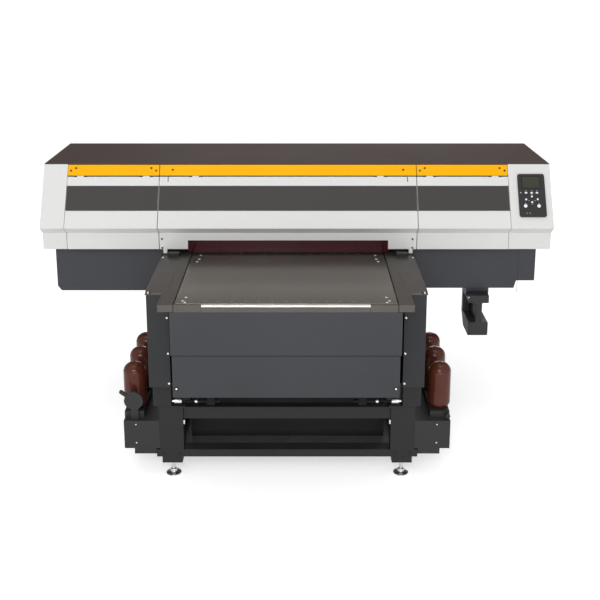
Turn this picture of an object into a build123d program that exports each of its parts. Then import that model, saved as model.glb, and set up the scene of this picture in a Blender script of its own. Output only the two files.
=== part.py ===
from build123d import *
import os
from math import cos, radians, sin, tan

# Wide flatbed inkjet printer: a lifting bed with a feeding vacuum table, under a fixed head housing,
# on a steel stand with ink stations at both sides. Millimetres, +Z up, -Y towards the operator.
# The origin is on the floor, at the middle of the overall width and depth.

# Overall sizes
overall_width = 2278.0
overall_depth = 1617.0
overall_height = 1235.0
bed_x = -40.0  # the bed, base and stand are centred here, left of the head's middle
front_y = -overall_depth / 2
rear_y = overall_depth / 2
left_x = -overall_width / 2
right_x = overall_width / 2

# General fits
sheet = 3.0
thin_sheet = 2.0
slide_gap = 0.5
curve_gap = 0.3
shaft_fit = 0.05
joint_gap = 0.2  # between members that are bolted end to end

# Stand
foot_height = 64.0
foot_radius = 32.0
foot_block_height = 28.0
foot_block_width = 85.0
leg_width = 100.0
leg_depth = 60.0
leg_offset = 483.0
tube_wall = 4.0
sill_height = 33.0
sill_overhang = 12.0
side_rail_width = 50.0
upper_beam_height = 53.0
upper_beam_depth = 40.0
top_plate_height = 8.0
stand_top_z = 323.0
stand_front_y = front_y + 200.0
stand_rear_y = rear_y - 188.5
mount_block_near = 480.0
mount_block_far = 556.0
shelf_height = 3.0
control_box_half = 420.0
control_box_top_z = 240.0
control_box_setback = 178.5
control_box_depth = 700.0

# Base
base_z = 435.0
base_plate_height = 6.0
column_inner = 471.0
column_outer = 559.0
column_front_y = front_y + 140.0
table_top_z = 840.0
deck_height = 9.0
column_top_z = table_top_z - deck_height
deck_inner = 434.0
deck_shelf_outer = 494.0
deck_outer = 564.0
deck_fold = 29.0
deck_rear_y = 455.0
guide_rail_depth = 10.0
guide_rail_width = 24.0
guide_rail_y = (-450.0, 350.0)
jack_y = (-350.0, 350.0)
jack_rod_radius = 12.0
jack_housing = 90.0
jack_housing_height = 70.0

# Lifting bed
lift_half = 440.0
rail_stack = 36.0  # from the lift deck to the underside of the table carrier
lift_deck_height = 8.0
lift_web_depth = 100.0
nose_depth = 14.5
nose_height = 30.0
nose_polished_half = 325.0
nose_half = 432.0
skirt_half = 449.0
skirt_height = 178.0  # of the upper skirt
skirt_bottom_z = base_z + 19.0
skirt_step = 4.5

# Table
table_half = 430.0
table_length = 700.0
table_plate = 20.0
table_setback = 16.5
table_feed = 520.0  # how far the table runs to the rear
rear_bay_gap = 42.0
carrier_half = 400.0
carrier_inset = 20.0
carrier_height = 14.0
feed_rail_offset = 300.0
feed_rail_width = 20.0
feed_rail_height = 20.0
feed_screw_radius = 10.0
feed_screw_height = 18.0  # above the lift deck

# Head housing
top_front_y = -41.5
head_rear_y = 461.5
slope_angle = 30.0  # of the front face, from the vertical
slope_length = 303.0
facet_y = -146.5
facet_height = 76.0
cover_gap = 24.0  # from the table's top to the covers' bottom edge
left_end_width = 107.0
right_end_width = 189.0
centre_half = 578.0
seam = 3.0
strip_length = 57.0
hinge_distance = 60.6
cover_start = 62.4
band_start = 104.2
band_end = 221.5
lip_end = 231.2
band_recess = 2.0
rib_depth = 20.0
knuckle_radius = 2.9
pin_radius = 1.5
knuckle_length = 30.0
window_half = 449.5
window_notch_height = 41.0
window_gap = 8.0  # from the table's top to the window
window_thickness = 4.0
window_lap = 10.0

# Head pans
pan_front_y = -88.0
left_pan_depth = 216.0  # below the covers' bottom edge
right_pan_depth = 204.0
pan_step_depth = 168.0
pan_slope_depth = 228.0
left_pan_x = -1100.0
right_pan_x = 1090.0
pan_step_x = 997.0

# Gantry
support_near = 480.0
support_far = 550.0
support_y = (150.0, 400.0)
beam_y = (160.0, 300.0)
beam_z = (1000.0, 1130.0)
beam_wall = 6.0
rail_depth = 15.0
rail_height = 20.0
rail_z = (1025.0, 1105.0)
rail_x = (-1010.0, 935.0)
carriage_x = 740.0  # middle of the parked carriage
carriage_half = 130.0
lamp_width = 60.0
carriage_gap = 6.0  # from the table's top to the carriage
belt_z = 1065.0
belt_y = (145.0, 155.0)
belt_thickness = 1.5
pulley_radius = 20.0
pulley_x = (-1050.0, 990.0)
stub_radius = 5.0

# Ink stations
station_outer = 682.0
station_z = (131.0, 256.0)
station_depth = 528.5
bottle_offset = 644.0
bottle_radius = 46.5
bottle_pitch = 164.0
bottle_first = 90.0
bottle_height = 195.0
dome_bulge = 9.5
neck_radius = 17.0
neck_length = 28.0
bottle_seat = 29.0  # height of the bottles' shoulders above the station
lever_radius = 39.0
lever_height = 89.0  # of the lever's pin above the station
lever_pin_radius = 8.0

# Operation panel
panel_x = 989.0
panel_top = 51.5
panel_width = 120.0
panel_length = 200.0
panel_height = 9.0
display_width = 79.0
display_length = 53.0
display_at = (58.5, 39.5)
key_travel = 0.8
key_proud = 1.5
pocket_depth = 6.0

# Waste tank
tank_x = (787.0, 877.0)
tank_y = (-137.0, 62.0)
tank_height = 198.0
tank_gap = 20.0  # from the right pan to the tank

# Working values of the sloping front face
slope_down = (-sin(radians(slope_angle)), -cos(radians(slope_angle)))
slope_out = (-cos(radians(slope_angle)), sin(radians(slope_angle)))
slope_plane = Plane(
    origin=(0, top_front_y, overall_height),
    x_dir=(1, 0, 0),
    z_dir=(0, slope_out[0], slope_out[1]),
)
top_sheet_z = overall_height - sheet
lift_deck_z = table_top_z - table_plate - carrier_height - rail_stack
feed_screw_z = lift_deck_z + feed_screw_height
skirt_split_z = table_top_z - nose_height - skirt_height
cover_bottom_z = table_top_z + cover_gap
facet_z = cover_bottom_z + facet_height
window_notch_z = cover_bottom_z + window_notch_height
window_bottom_z = table_top_z + window_gap
carriage_z = table_top_z + carriage_gap
right_pan_z = cover_bottom_z - right_pan_depth
left_pan_z = cover_bottom_z - left_pan_depth
pan_slope_z = cover_bottom_z - pan_slope_depth
pan_step_z = cover_bottom_z - pan_step_depth
tank_top_z = right_pan_z - tank_gap
tank_z = (tank_top_z - tank_height, tank_top_z)
bottle_seat_z = station_z[1] + bottle_seat
lever_z = station_z[1] + lever_height
left_seam_x = bed_x - centre_half
right_seam_x = bed_x + centre_half
left_cover_x = left_x + left_end_width
right_cover_x = right_x - right_end_width

os.makedirs("parts", exist_ok=True)


def block(x, y, z, mode=Mode.ADD):
    """Add a box spanning the three ranges to the part being built."""
    with Locations((sum(x) / 2, sum(y) / 2, sum(z) / 2)):
        Box(x[1] - x[0], y[1] - y[0], z[1] - z[0], mode=mode)


def across(side, near, far):
    """X range between two distances from the bed's centreline, to one side of it."""
    return tuple(sorted((bed_x + side * near, bed_x + side * far)))


def tube(x, y, z, wall, axis):
    """Add a square tube that is open at both ends of one axis."""
    inner = [(r[0] + wall, r[1] - wall) for r in (x, y, z)]
    inner["XYZ".index(axis)] = (x, y, z)["XYZ".index(axis)]
    block(x, y, z)
    block(*inner, mode=Mode.SUBTRACT)


def profile_x(points, x, mode=Mode.ADD):
    """Extrude a closed outline of (y, z) points over a range of X."""
    with BuildSketch(Plane.YZ.offset(x[0])) as outline:
        with BuildLine():
            Polyline(*points, close=True)
        make_face()
    extrude(outline.sketch, amount=x[1] - x[0], mode=mode)


def profile_y(points, y, mode=Mode.ADD):
    """Extrude a closed outline of (x, z) points over a range of Y."""
    with BuildSketch(Plane.XZ.offset(-y[1])) as outline:
        with BuildLine():
            Polyline(*points, close=True)
        make_face()
    extrude(outline.sketch, amount=y[1] - y[0], mode=mode)


def shifted_path(points, distance):
    """The open path moved to its left by a distance, with its corners kept sharp."""
    lines = []
    for (x0, y0), (x1, y1) in zip(points, points[1:]):
        length = ((x1 - x0) ** 2 + (y1 - y0) ** 2) ** 0.5
        ux, uy = (x1 - x0) / length, (y1 - y0) / length
        lines.append(((x0 - uy * distance, y0 + ux * distance), (ux, uy), length))
    moved = [lines[0][0]]
    for (p, u, _), (q, v, _) in zip(lines, lines[1:]):
        turn = u[0] * v[1] - u[1] * v[0]
        along = ((q[0] - p[0]) * v[1] - (q[1] - p[1]) * v[0]) / turn
        moved.append((p[0] + u[0] * along, p[1] + u[1] * along))
    (p, u, length) = lines[-1]
    moved.append((p[0] + u[0] * length, p[1] + u[1] * length))
    return moved


def bent_sheet(points, thickness, x):
    """Add a sheet bent along an open (y, z) path, thickened to the path's left."""
    profile_x(points + shifted_path(points, thickness)[::-1], x)


def closed_inset(points, distance):
    """A closed anticlockwise outline moved inwards by a distance."""
    ring = shifted_path(points + points[:2], distance)
    return ring[1:-1]


def slope_point(down, out=0.0):
    """(y, z) of a point on the sloping face, a distance down it and outwards from it."""
    return (
        top_front_y + slope_down[0] * down + slope_out[0] * out,
        overall_height + slope_down[1] * down + slope_out[1] * out,
    )


def slope_block(x, down, out, mode=Mode.ADD):
    """Add a box that lies along the sloping front face."""
    with Locations(slope_plane):
        block(x, (-down[1], -down[0]), out, mode)


def slope_rod(x, down, out, radius, mode=Mode.ADD):
    """Add a round rod along X, at a place on the sloping front face."""
    with Locations(slope_plane):
        with Locations((sum(x) / 2, -down, out)):
            Cylinder(radius, x[1] - x[0], rotation=(0, 90, 0), mode=mode)


def rod(start, axis, radius, length, mode=Mode.ADD):
    """Add a round rod from a point along +X, +Y or +Z."""
    turn = {"X": (0, 90, 0), "Y": (-90, 0, 0), "Z": (0, 0, 0)}[axis]
    with Locations(start):
        Cylinder(
            radius,
            length,
            rotation=turn,
            align=(Align.CENTER, Align.CENTER, Align.MIN),
            mode=mode,
        )


def save(builder, name):
    """Label a finished piece and write it as its own file."""
    builder.part.label = name
    export_step(builder.part, f"parts/{name}.step")


# ---------------------------------------------------------------- stand
sill_bottom_z = foot_height + foot_block_height
sill_top_z = sill_bottom_z + sill_height
leg_top_z = stand_top_z - top_plate_height
leg_near = leg_offset - leg_width / 2
leg_far = leg_offset + leg_width / 2
leg_rows = (
    (stand_front_y, stand_front_y + leg_depth),
    (stand_rear_y - leg_depth, stand_rear_y),
)

upper_z = (leg_top_z - upper_beam_height, leg_top_z)
sill_z = (sill_bottom_z, sill_top_z)

# Square-tube stand: sills, legs, top plates, mounting blocks and beams, bolted end to end.
with BuildPart() as stand_frame:
    sill_far = leg_far + sill_overhang
    for row in leg_rows:
        tube((bed_x - sill_far, bed_x + sill_far), row, sill_z, tube_wall, "X")
        row_middle = sum(row) / 2
        beam_row = (row_middle - upper_beam_depth / 2, row_middle + upper_beam_depth / 2)
        beam_half = leg_near - joint_gap
        tube((bed_x - beam_half, bed_x + beam_half), beam_row, upper_z, tube_wall, "X")
        for side in (-1, 1):
            block_near = leg_offset - foot_block_width / 2
            block_x = across(side, block_near, block_near + foot_block_width)
            block(block_x, row, (foot_height, sill_bottom_z - joint_gap))
            leg_z = (sill_top_z + joint_gap, leg_top_z - joint_gap)
            tube(across(side, leg_near, leg_far), row, leg_z, tube_wall, "Z")
            block(across(side, leg_near - 8, leg_far), row, (leg_top_z, stand_top_z))
            mount_z = (stand_top_z + joint_gap, base_z)
            block(across(side, mount_block_near, mount_block_far), row, mount_z)
            block(across(side, sill_far + joint_gap, sill_far + sheet), row, sill_z)
    rail_row = (leg_rows[0][1] + joint_gap, leg_rows[1][0] - joint_gap)
    for side in (-1, 1):
        rail_near = leg_offset - side_rail_width / 2
        rail_span = across(side, rail_near, rail_near + side_rail_width)
        tube(rail_span, rail_row, sill_z, tube_wall, "Y")
        tube(rail_span, rail_row, upper_z, tube_wall, "Y")
save(stand_frame, "stand_frame")

# Folded shelf between the lower rails.
with BuildPart() as stand_shelf:
    shelf_half = leg_offset - side_rail_width / 2
    shelf_x = (bed_x - shelf_half, bed_x + shelf_half)
    block(shelf_x, rail_row, (sill_bottom_z, sill_bottom_z + shelf_height))
save(stand_shelf, "stand_shelf")

# Sheet-metal box for the power supply and pumps, open underneath, standing on the shelf.
with BuildPart() as control_box:
    box_x = (bed_x - control_box_half, bed_x + control_box_half)
    box_front = stand_front_y + control_box_setback
    box_y = (box_front, box_front + control_box_depth)
    box_z = (sill_bottom_z + shelf_height, control_box_top_z)
    block(box_x, box_y, box_z)
    block(
        (box_x[0] + sheet, box_x[1] - sheet),
        (box_y[0] + sheet, box_y[1] - sheet),
        (box_z[0], box_z[1] - sheet),
        Mode.SUBTRACT,
    )
save(control_box, "control_box")

# Four turned levelling feet: a dished pad, a threaded stem and its lock nut.
with BuildPart() as levelling_feet:
    for row in leg_rows:
        for side in (-1, 1):
            with BuildSketch(Plane.XZ.offset(-sum(row) / 2)) as half_foot:
                with BuildLine():
                    stem_x = bed_x + side * leg_offset
                    Polyline(
                        (stem_x, 0),
                        (stem_x + foot_radius - 2, 0),
                        (stem_x + foot_radius, 3),
                        (stem_x + foot_radius, 7),
                        (stem_x + 14, 13),
                        (stem_x + 12, 24),
                        (stem_x + 7, 27),
                        (stem_x + 7, 52),
                        (stem_x + 13, 53),
                        (stem_x + 13, foot_height),
                        (stem_x, foot_height),
                        close=True,
                    )
                make_face()
            axis = Axis((stem_x, sum(row) / 2, 0), (0, 0, 1))
            revolve(half_foot.sketch, axis=axis)
save(levelling_feet, "levelling_feet")

# ---------------------------------------------------------------- base
base_front_y = stand_front_y - 31.5

# Base plate with a front lip, and the housings of the two screw jacks that carry the bed.
with BuildPart() as base_frame:
    plate_z = (base_z, base_z + base_plate_height)
    plate_x = (bed_x - column_inner, bed_x + column_inner)
    block(plate_x, (base_front_y, rear_y - sheet), plate_z)
    block(
        (bed_x - lift_half, bed_x + lift_half),
        (base_front_y, base_front_y + base_plate_height),
        (plate_z[1], skirt_bottom_z + 8),
    )
    for y in jack_y:
        half = jack_housing / 2
        housing_z = (plate_z[1], plate_z[1] + jack_housing_height)
        block((bed_x - half, bed_x + half), (y - half, y + half), housing_z)
        jack_hole = jack_rod_radius + shaft_fit
        rod((bed_x, y, base_z), "Z", jack_hole, 100, Mode.SUBTRACT)
save(base_frame, "base_frame")

# Side columns: folded steel boxes, open at the rear, with two vertical guide rails each.
for side, name in ((-1, "side_column_left"), (1, "side_column_right")):
    with BuildPart() as side_column:
        column_y = (column_front_y, rear_y - sheet)
        block(across(side, column_inner, column_outer), column_y, (base_z, column_top_z))
        block(
            across(side, column_inner + sheet, column_outer - sheet),
            (column_y[0] + sheet, column_y[1]),
            (base_z + sheet, column_top_z - sheet),
            Mode.SUBTRACT,
        )
        for y in guide_rail_y:
            block(
                across(side, column_inner - guide_rail_depth, column_inner),
                (y - guide_rail_width / 2, y + guide_rail_width / 2),
                (base_z + 45, column_top_z - 11),
            )
    save(side_column, name)

# Rear cover: a folded sheet over the back and the top of the bed's rear bay.
with BuildPart() as rear_cover:
    rear_x = (bed_x - column_outer, bed_x + column_outer)
    block(rear_x, (rear_y - sheet, rear_y), (base_z, column_top_z))
    bay_x = (bed_x - column_inner, bed_x + column_inner)
    table_limit_y = front_y + table_setback + table_length + table_feed
    bay_y = (table_limit_y + rear_bay_gap, rear_y - sheet)
    block(bay_x, bay_y, (column_top_z - sheet, column_top_z))
save(rear_cover, "rear_cover")

# Lower skirt: a U-shaped sheet that stays still, with a bottom flange to the base plate's lip.
lower_skirt_half = skirt_half - skirt_step
lower_skirt_y = front_y + skirt_step
with BuildPart() as lower_skirt:
    skirt_x = (bed_x - lower_skirt_half, bed_x + lower_skirt_half)
    lower_z = (skirt_bottom_z, skirt_split_z + 8)
    block(skirt_x, (lower_skirt_y, lower_skirt_y + thin_sheet), lower_z)
    for side in (-1, 1):
        wall_x = across(side, lower_skirt_half - thin_sheet, lower_skirt_half)
        block(wall_x, (lower_skirt_y, base_front_y), lower_z)
    block(skirt_x, (lower_skirt_y, base_front_y), (skirt_bottom_z, skirt_bottom_z + thin_sheet))
save(lower_skirt, "lower_skirt")

# Side decks: flat trays on the columns, with a narrow shelf that runs forward and folds down.
for side, name in ((-1, "side_deck_left"), (1, "side_deck_right")):
    with BuildPart() as side_deck:
        deck_z = (column_top_z, table_top_z)
        block(across(side, deck_inner, deck_outer), (column_front_y - 1, deck_rear_y), deck_z)
        shelf_x = across(side, deck_inner, deck_shelf_outer)
        block(shelf_x, (front_y, column_front_y), deck_z)
        fold_z = (table_top_z - deck_fold, table_top_z)
        block(shelf_x, (front_y, front_y + sheet), fold_z)
        fold_x = across(side, deck_shelf_outer - sheet, deck_shelf_outer)
        block(fold_x, (front_y, column_front_y - 1), fold_z)
        notch_x = across(side, deck_outer - 26, deck_outer)
        notch_y = (column_front_y - 1, column_front_y + 21)
        block(notch_x, notch_y, (column_top_z + 3, table_top_z), Mode.SUBTRACT)
        sensor_x = across(side, 485, 535)
        block(sensor_x, (pan_front_y - 102, pan_front_y - 65), (table_top_z, table_top_z + 17))
    save(side_deck, name)

# Lock rods: turned transport rods, each fixed in a bracket under the base plate's front edge.
with BuildPart() as lock_rods:
    rod_y = column_front_y - 19.5
    rod_z = 385.0
    for side in (-1, 1):
        bracket_y = (rod_y - 12, base_front_y + 40)
        block(across(side, 292, 322), bracket_y, (rod_z - 12, base_z))
        rod_steps = ((464, 454, 5), (454, 426, 9), (426, 372, 4), (372, 362, 8), (362, 272, 7))
        for far, near, radius in rod_steps:
            start = min(bed_x + side * far, bed_x + side * near)
            rod((start, rod_y, rod_z), "X", radius, far - near)
save(lock_rods, "lock_rods")

# ---------------------------------------------------------------- ink supply
bottle_rows = [stand_front_y + bottle_first + i * bottle_pitch for i in range(3)]
deck_top_z = bottle_seat_z - curve_gap

for side, name in ((-1, "ink_station_left"), (1, "ink_station_right")):
    with BuildPart() as ink_station:
        station_y = (stand_front_y, stand_front_y + station_depth)
        block(across(side, leg_far, station_outer), station_y, station_z)
        foot_y = (station_y[0] + 8, station_y[1] - 20)
        sub_box_z = (sill_bottom_z + 10, station_z[0])
        block(across(side, leg_far + 16, station_outer - 40), foot_y, sub_box_z)
        deck_y = (bottle_rows[0] - 58, bottle_rows[2] + 58)
        block(across(side, 600, station_outer), deck_y, (station_z[1], deck_top_z))
        for y in bottle_rows:
            socket_z = station_z[1]
            socket = (bed_x + side * bottle_offset, y, socket_z)
            rod(socket, "Z", neck_radius + curve_gap, 100, Mode.SUBTRACT)
        if side < 0:
            # Post and pin of the supply lever.
            post_x = across(side, bottle_offset - 22, bottle_offset + 10)
            post_y = (stand_front_y + 18, stand_front_y + 28)
            block(post_x, post_y, (station_z[1], lever_z + 12))
            pin_start = (bed_x + side * (bottle_offset - 6), stand_front_y, lever_z)
            rod(pin_start, "Y", lever_pin_radius, post_y[0] - stand_front_y)
        else:
            # Small round knob on the front of the bottle deck.
            knob_y = deck_y[0] - 22
            rod((bed_x + side * 672, knob_y, 271), "Y", 10, deck_y[0] - knob_y)
    save(ink_station, name)

# Supply lever: a thick disc with an arm, turning on the left station's pin.
with BuildPart() as supply_lever:
    lever_x = bed_x - bottle_offset + 6
    disc_y = (stand_front_y + 1, stand_front_y + 15)
    rod((lever_x, disc_y[0], lever_z), "Y", lever_radius, disc_y[1] - disc_y[0])
    arm_plane = Plane(
        origin=(lever_x, disc_y[0] + 2, lever_z), x_dir=(-0.8, 0, 0.6), z_dir=(0, 1, 0)
    )
    with BuildSketch(arm_plane) as arm:
        with Locations((lever_radius - 6, 0)):
            SlotOverall(76, 15)
    extrude(arm.sketch, amount=10)
    lever_bore = lever_pin_radius + shaft_fit
    rod((lever_x, disc_y[0] - 5, lever_z), "Y", lever_bore, 30, Mode.SUBTRACT)
save(supply_lever, "supply_lever")

# Ink bottles, upside down, with their necks in the station's sockets.
for side, side_name in ((-1, "left"), (1, "right")):
    for number, y in enumerate(bottle_rows, start=1):
        with BuildPart() as ink_bottle:
            bottle_x = bed_x + side * bottle_offset
            dome_z = bottle_seat_z + bottle_height
            with BuildSketch(Plane.XZ.offset(-y)) as half_bottle:
                with BuildLine():
                    base = bottle_seat_z
                    rim = bottle_radius
                    Line((bottle_x, base - neck_length), (bottle_x + neck_radius, base - neck_length))
                    Line((bottle_x + neck_radius, base - neck_length), (bottle_x + neck_radius, base))
                    Line((bottle_x + neck_radius, base), (bottle_x + 24, base))
                    shoulder = (bottle_x + rim, base + 24)
                    TangentArc((bottle_x + 24, base), shoulder, tangent=(1, 0.05))
                    Line(shoulder, (bottle_x + rim, dome_z - 34))
                    crown = (bottle_x + 8, dome_z)
                    SagittaArc((bottle_x + rim, dome_z - 34), crown, -dome_bulge)
                    Line(crown, (bottle_x, dome_z))
                    Line((bottle_x, dome_z), (bottle_x, base - neck_length))
                make_face()
            revolve(half_bottle.sketch, axis=Axis((bottle_x, y, 0), (0, 0, 1)))
        save(ink_bottle, f"ink_bottle_{side_name}_{number}")

# ---------------------------------------------------------------- lifting bed
lift_front_y = front_y + nose_depth
lift_rear_y = rear_y - 28.5

# Lift frame: a deck on deep webs, with guide blocks, jack rods and the feed screw's bearings.
with BuildPart() as lift_frame:
    deck_bottom_z = lift_deck_z - lift_deck_height
    web_bottom_z = lift_deck_z - lift_web_depth
    lift_x = (bed_x - lift_half, bed_x + lift_half)
    block(lift_x, (lift_front_y, lift_rear_y), (web_bottom_z, lift_deck_z))
    inner_x = (lift_x[0] + 8, lift_x[1] - 8)
    inner_y = (lift_front_y + 8, lift_rear_y - 8)
    block(inner_x, inner_y, (web_bottom_z, deck_bottom_z), Mode.SUBTRACT)
    rail_face = column_inner - guide_rail_depth
    for side in (-1, 1):
        for y in guide_rail_y:
            guide_y = (y - 30, y + 30)
            guide_z = (web_bottom_z + 5, deck_bottom_z)
            block(across(side, lift_half, column_inner - 3), guide_y, guide_z)
            half_slot = guide_rail_width / 2 + slide_gap
            block(
                across(side, rail_face - slide_gap, column_inner),
                (y - half_slot, y + half_slot),
                guide_z,
                Mode.SUBTRACT,
            )
    for y in jack_y:
        rod_bottom_z = base_z + base_plate_height + 40
        rod((bed_x, y, rod_bottom_z), "Z", jack_rod_radius, deck_bottom_z - rod_bottom_z)
    screw_ends = (lift_front_y + 34, lift_rear_y - 44)
    for y in screw_ends:
        bearing_x = (bed_x - 24, bed_x + 24)
        block(bearing_x, (y - 10, y + 10), (lift_deck_z, feed_screw_z + 15))
        bearing_bore = feed_screw_radius + shaft_fit
        rod((bed_x, y - 12, feed_screw_z), "Y", bearing_bore, 24, Mode.SUBTRACT)
save(lift_frame, "lift_frame")

# Upper skirt: a U-shaped sheet that hangs from the nose bar and slides down outside the lower one.
with BuildPart() as upper_skirt:
    nose_bottom_z = table_top_z - nose_height
    upper_z = (skirt_split_z, nose_bottom_z)
    block((bed_x - skirt_half, bed_x + skirt_half), (front_y, front_y + thin_sheet), upper_z)
    for side in (-1, 1):
        wall_x = across(side, skirt_half - thin_sheet, skirt_half)
        block(wall_x, (front_y, guide_rail_y[0] - 110), upper_z)
save(upper_skirt, "upper_skirt")

# Nose bar: a polished middle length with a rounded edge, and two plain end lengths.
with BuildPart() as nose_bar:
    nose_y = (front_y, lift_front_y)
    nose_z = (nose_bottom_z, table_top_z)
    middle_x = (bed_x - nose_polished_half, bed_x + nose_polished_half)
    block(middle_x, nose_y, nose_z)
    top_front = nose_bar.edges().filter_by(Axis.X).group_by(Axis.Z)[-1].sort_by(Axis.Y)[0]
    fillet(top_front, radius=8)
    block(middle_x, (lift_front_y - 6, lift_front_y), (lift_deck_z - 60, nose_bottom_z))
    for side in (-1, 1):
        end_x = across(side, nose_polished_half + 0.4, nose_half)
        block(end_x, nose_y, nose_z)
        block(end_x, (lift_front_y - 6, lift_front_y), (lift_deck_z - 60, nose_bottom_z))
save(nose_bar, "nose_bar")

# Linear rails that the table runs along.
with BuildPart() as feed_rails:
    for side in (-1, 1):
        half = feed_rail_width / 2
        rail_range = across(side, feed_rail_offset - half, feed_rail_offset + half)
        rail_y = (lift_front_y + 18, lift_rear_y - 8)
        block(rail_range, rail_y, (lift_deck_z, lift_deck_z + feed_rail_height))
save(feed_rails, "feed_rails")

# Feed screw, drawn as its outside diameter, with its drive pulley at the rear.
with BuildPart() as feed_screw:
    screw_start = screw_ends[0] - 9
    screw_length = screw_ends[1] + 24 - screw_start
    rod((bed_x, screw_start, feed_screw_z), "Y", feed_screw_radius, screw_length)
    rod((bed_x, screw_ends[1] + 12, feed_screw_z), "Y", 16, 12)
    chamfer(feed_screw.edges().sort_by(Axis.Y)[0], length=1)
save(feed_screw, "feed_screw")

# ---------------------------------------------------------------- table
table_front_y = front_y + table_setback
table_rear_y = table_front_y + table_length

# Vacuum table: a solid anodised plate.
with BuildPart() as vacuum_table:
    table_x = (bed_x - table_half, bed_x + table_half)
    block(table_x, (table_front_y, table_rear_y), (table_top_z - table_plate, table_top_z))
    chamfer(vacuum_table.edges().group_by(Axis.Z)[-1], length=0.8)
save(vacuum_table, "vacuum_table")

# Table carrier: a plate with four bearing blocks and the screw's nut underneath.
with BuildPart() as table_carrier:
    carrier_top = table_top_z - table_plate
    carrier_bottom = carrier_top - carrier_height
    carrier_x = (bed_x - carrier_half, bed_x + carrier_half)
    carrier_y = (table_front_y + carrier_inset, table_rear_y - carrier_inset)
    block(carrier_x, carrier_y, (carrier_bottom, carrier_top))
    for side in (-1, 1):
        for y in (carrier_y[0] + 70, carrier_y[1] - 70):
            bearing_x = across(side, feed_rail_offset - 35, feed_rail_offset + 35)
            block(bearing_x, (y - 45, y + 45), (lift_deck_z + 3, carrier_bottom))
            half = feed_rail_width / 2 + slide_gap
            slot_x = across(side, feed_rail_offset - half, feed_rail_offset + half)
            slot_z = (lift_deck_z, lift_deck_z + feed_rail_height + slide_gap)
            block(slot_x, (y - 46, y + 46), slot_z, Mode.SUBTRACT)
    nut_y = sum(carrier_y) / 2
    block((bed_x - 22, bed_x + 22), (nut_y - 30, nut_y + 30), (lift_deck_z + 2, carrier_bottom))
    nut_bore = feed_screw_radius + shaft_fit
    rod((bed_x, nut_y - 40, feed_screw_z), "Y", nut_bore, 80, Mode.SUBTRACT)
save(table_carrier, "table_carrier")

# ---------------------------------------------------------------- gantry
end_inner_x = (left_x + sheet, right_x - sheet)

# Gantry beam: a large box tube with a stub shaft near each end for the belt pulleys.
with BuildPart() as gantry_beam:
    tube(end_inner_x, beam_y, beam_z, beam_wall, "X")
    for x in pulley_x:
        rod((x, belt_y[0] - 3, belt_z), "Y", stub_radius, beam_y[0] - belt_y[0] + 3)
save(gantry_beam, "gantry_beam")

# Two box uprights that stand on the side decks and carry the beam.
with BuildPart() as beam_supports:
    for side in (-1, 1):
        upright_x = across(side, support_near, support_far)
        tube(upright_x, support_y, (table_top_z, beam_z[0]), beam_wall, "Z")
save(beam_supports, "beam_supports")

# Two linear rails on the beam's front face.
with BuildPart() as carriage_rails:
    for z in rail_z:
        rail_y = (beam_y[0] - rail_depth, beam_y[0])
        block(rail_x, rail_y, (z - rail_height / 2, z + rail_height / 2))
save(carriage_rails, "carriage_rails")

# Carriage: back plate with bearing blocks, the print head box, and a UV lamp at each side.
with BuildPart() as carriage:
    plate_back = beam_y[0] - rail_depth - 3
    plate_front = plate_back - 14
    body_x = (carriage_x - carriage_half, carriage_x + carriage_half)
    block(body_x, (plate_front, plate_back), (rail_z[0] - 85, rail_z[1] + 35))
    for z in rail_z:
        for x in (body_x[0] + 45, body_x[1] - 45):
            half = rail_height / 2
            bearing_z = (z - half - 8, z + half + 8)
            block((x - 35, x + 35), (plate_back, beam_y[0] - 3), bearing_z)
            slot_z = (z - half - slide_gap, z + half + slide_gap)
            slot_y = (beam_y[0] - rail_depth - slide_gap, beam_y[0])
            block((x - 36, x + 36), slot_y, slot_z, Mode.SUBTRACT)
    block(body_x, (-20, plate_front), (carriage_z, rail_z[1] - 5))
    for x in (body_x[0] + 50, body_x[1] - 50):
        for y in (15, 75):
            block((x - 30, x + 30), (y - 18, y + 18), (carriage_z - 2, carriage_z))
    lamp_z = (carriage_z + 2, carriage_z + 160)
    block((body_x[0] - lamp_width, body_x[0]), (0, 110), lamp_z)
    block((body_x[1], body_x[1] + lamp_width), (0, 110), lamp_z)
save(carriage, "carriage")

# Toothed drive belt around the two pulleys, drawn as a plain loop.
with BuildPart() as drive_belt:
    belt_inner = pulley_radius + curve_gap
    loop_middle = sum(pulley_x) / 2
    loop_length = pulley_x[1] - pulley_x[0]
    with BuildSketch(Plane.XZ.offset(-belt_y[0])) as loop:
        with Locations((loop_middle, belt_z)):
            outer = belt_inner + belt_thickness
            SlotCenterToCenter(loop_length, 2 * outer)
            SlotCenterToCenter(loop_length, 2 * belt_inner, mode=Mode.SUBTRACT)
    extrude(loop.sketch, amount=-(belt_y[1] - belt_y[0]))
save(drive_belt, "drive_belt")

for x, name in ((pulley_x[0], "idler_pulley"), (pulley_x[1], "drive_pulley")):
    with BuildPart() as pulley:
        pulley_width = belt_y[1] - belt_y[0]
        rod((x, belt_y[0], belt_z), "Y", pulley_radius, pulley_width)
        rod((x, belt_y[0] - 2, belt_z), "Y", 9, 2)
        rod((x, belt_y[0] - 5, belt_z), "Y", stub_radius + shaft_fit, 40, Mode.SUBTRACT)
    save(pulley, name)

# ---------------------------------------------------------------- head housing
# Top cover: a flat sheet with a sloping front flange that carries the accent strips and hinges.
hinge_out = -sheet
cover_ranges = {
    "left_cover": (left_cover_x + seam / 2, left_seam_x - seam / 2),
    "centre_cover": (left_seam_x + seam / 2, right_seam_x - seam / 2),
    "right_cover": (right_seam_x + seam / 2, right_cover_x - seam / 2),
}


def hinge_places(x):
    """Middles of the two hinges of a cover that spans a range of X."""
    inset = 0.14 * (x[1] - x[0])
    return x[0] + inset, x[1] - inset


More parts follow.
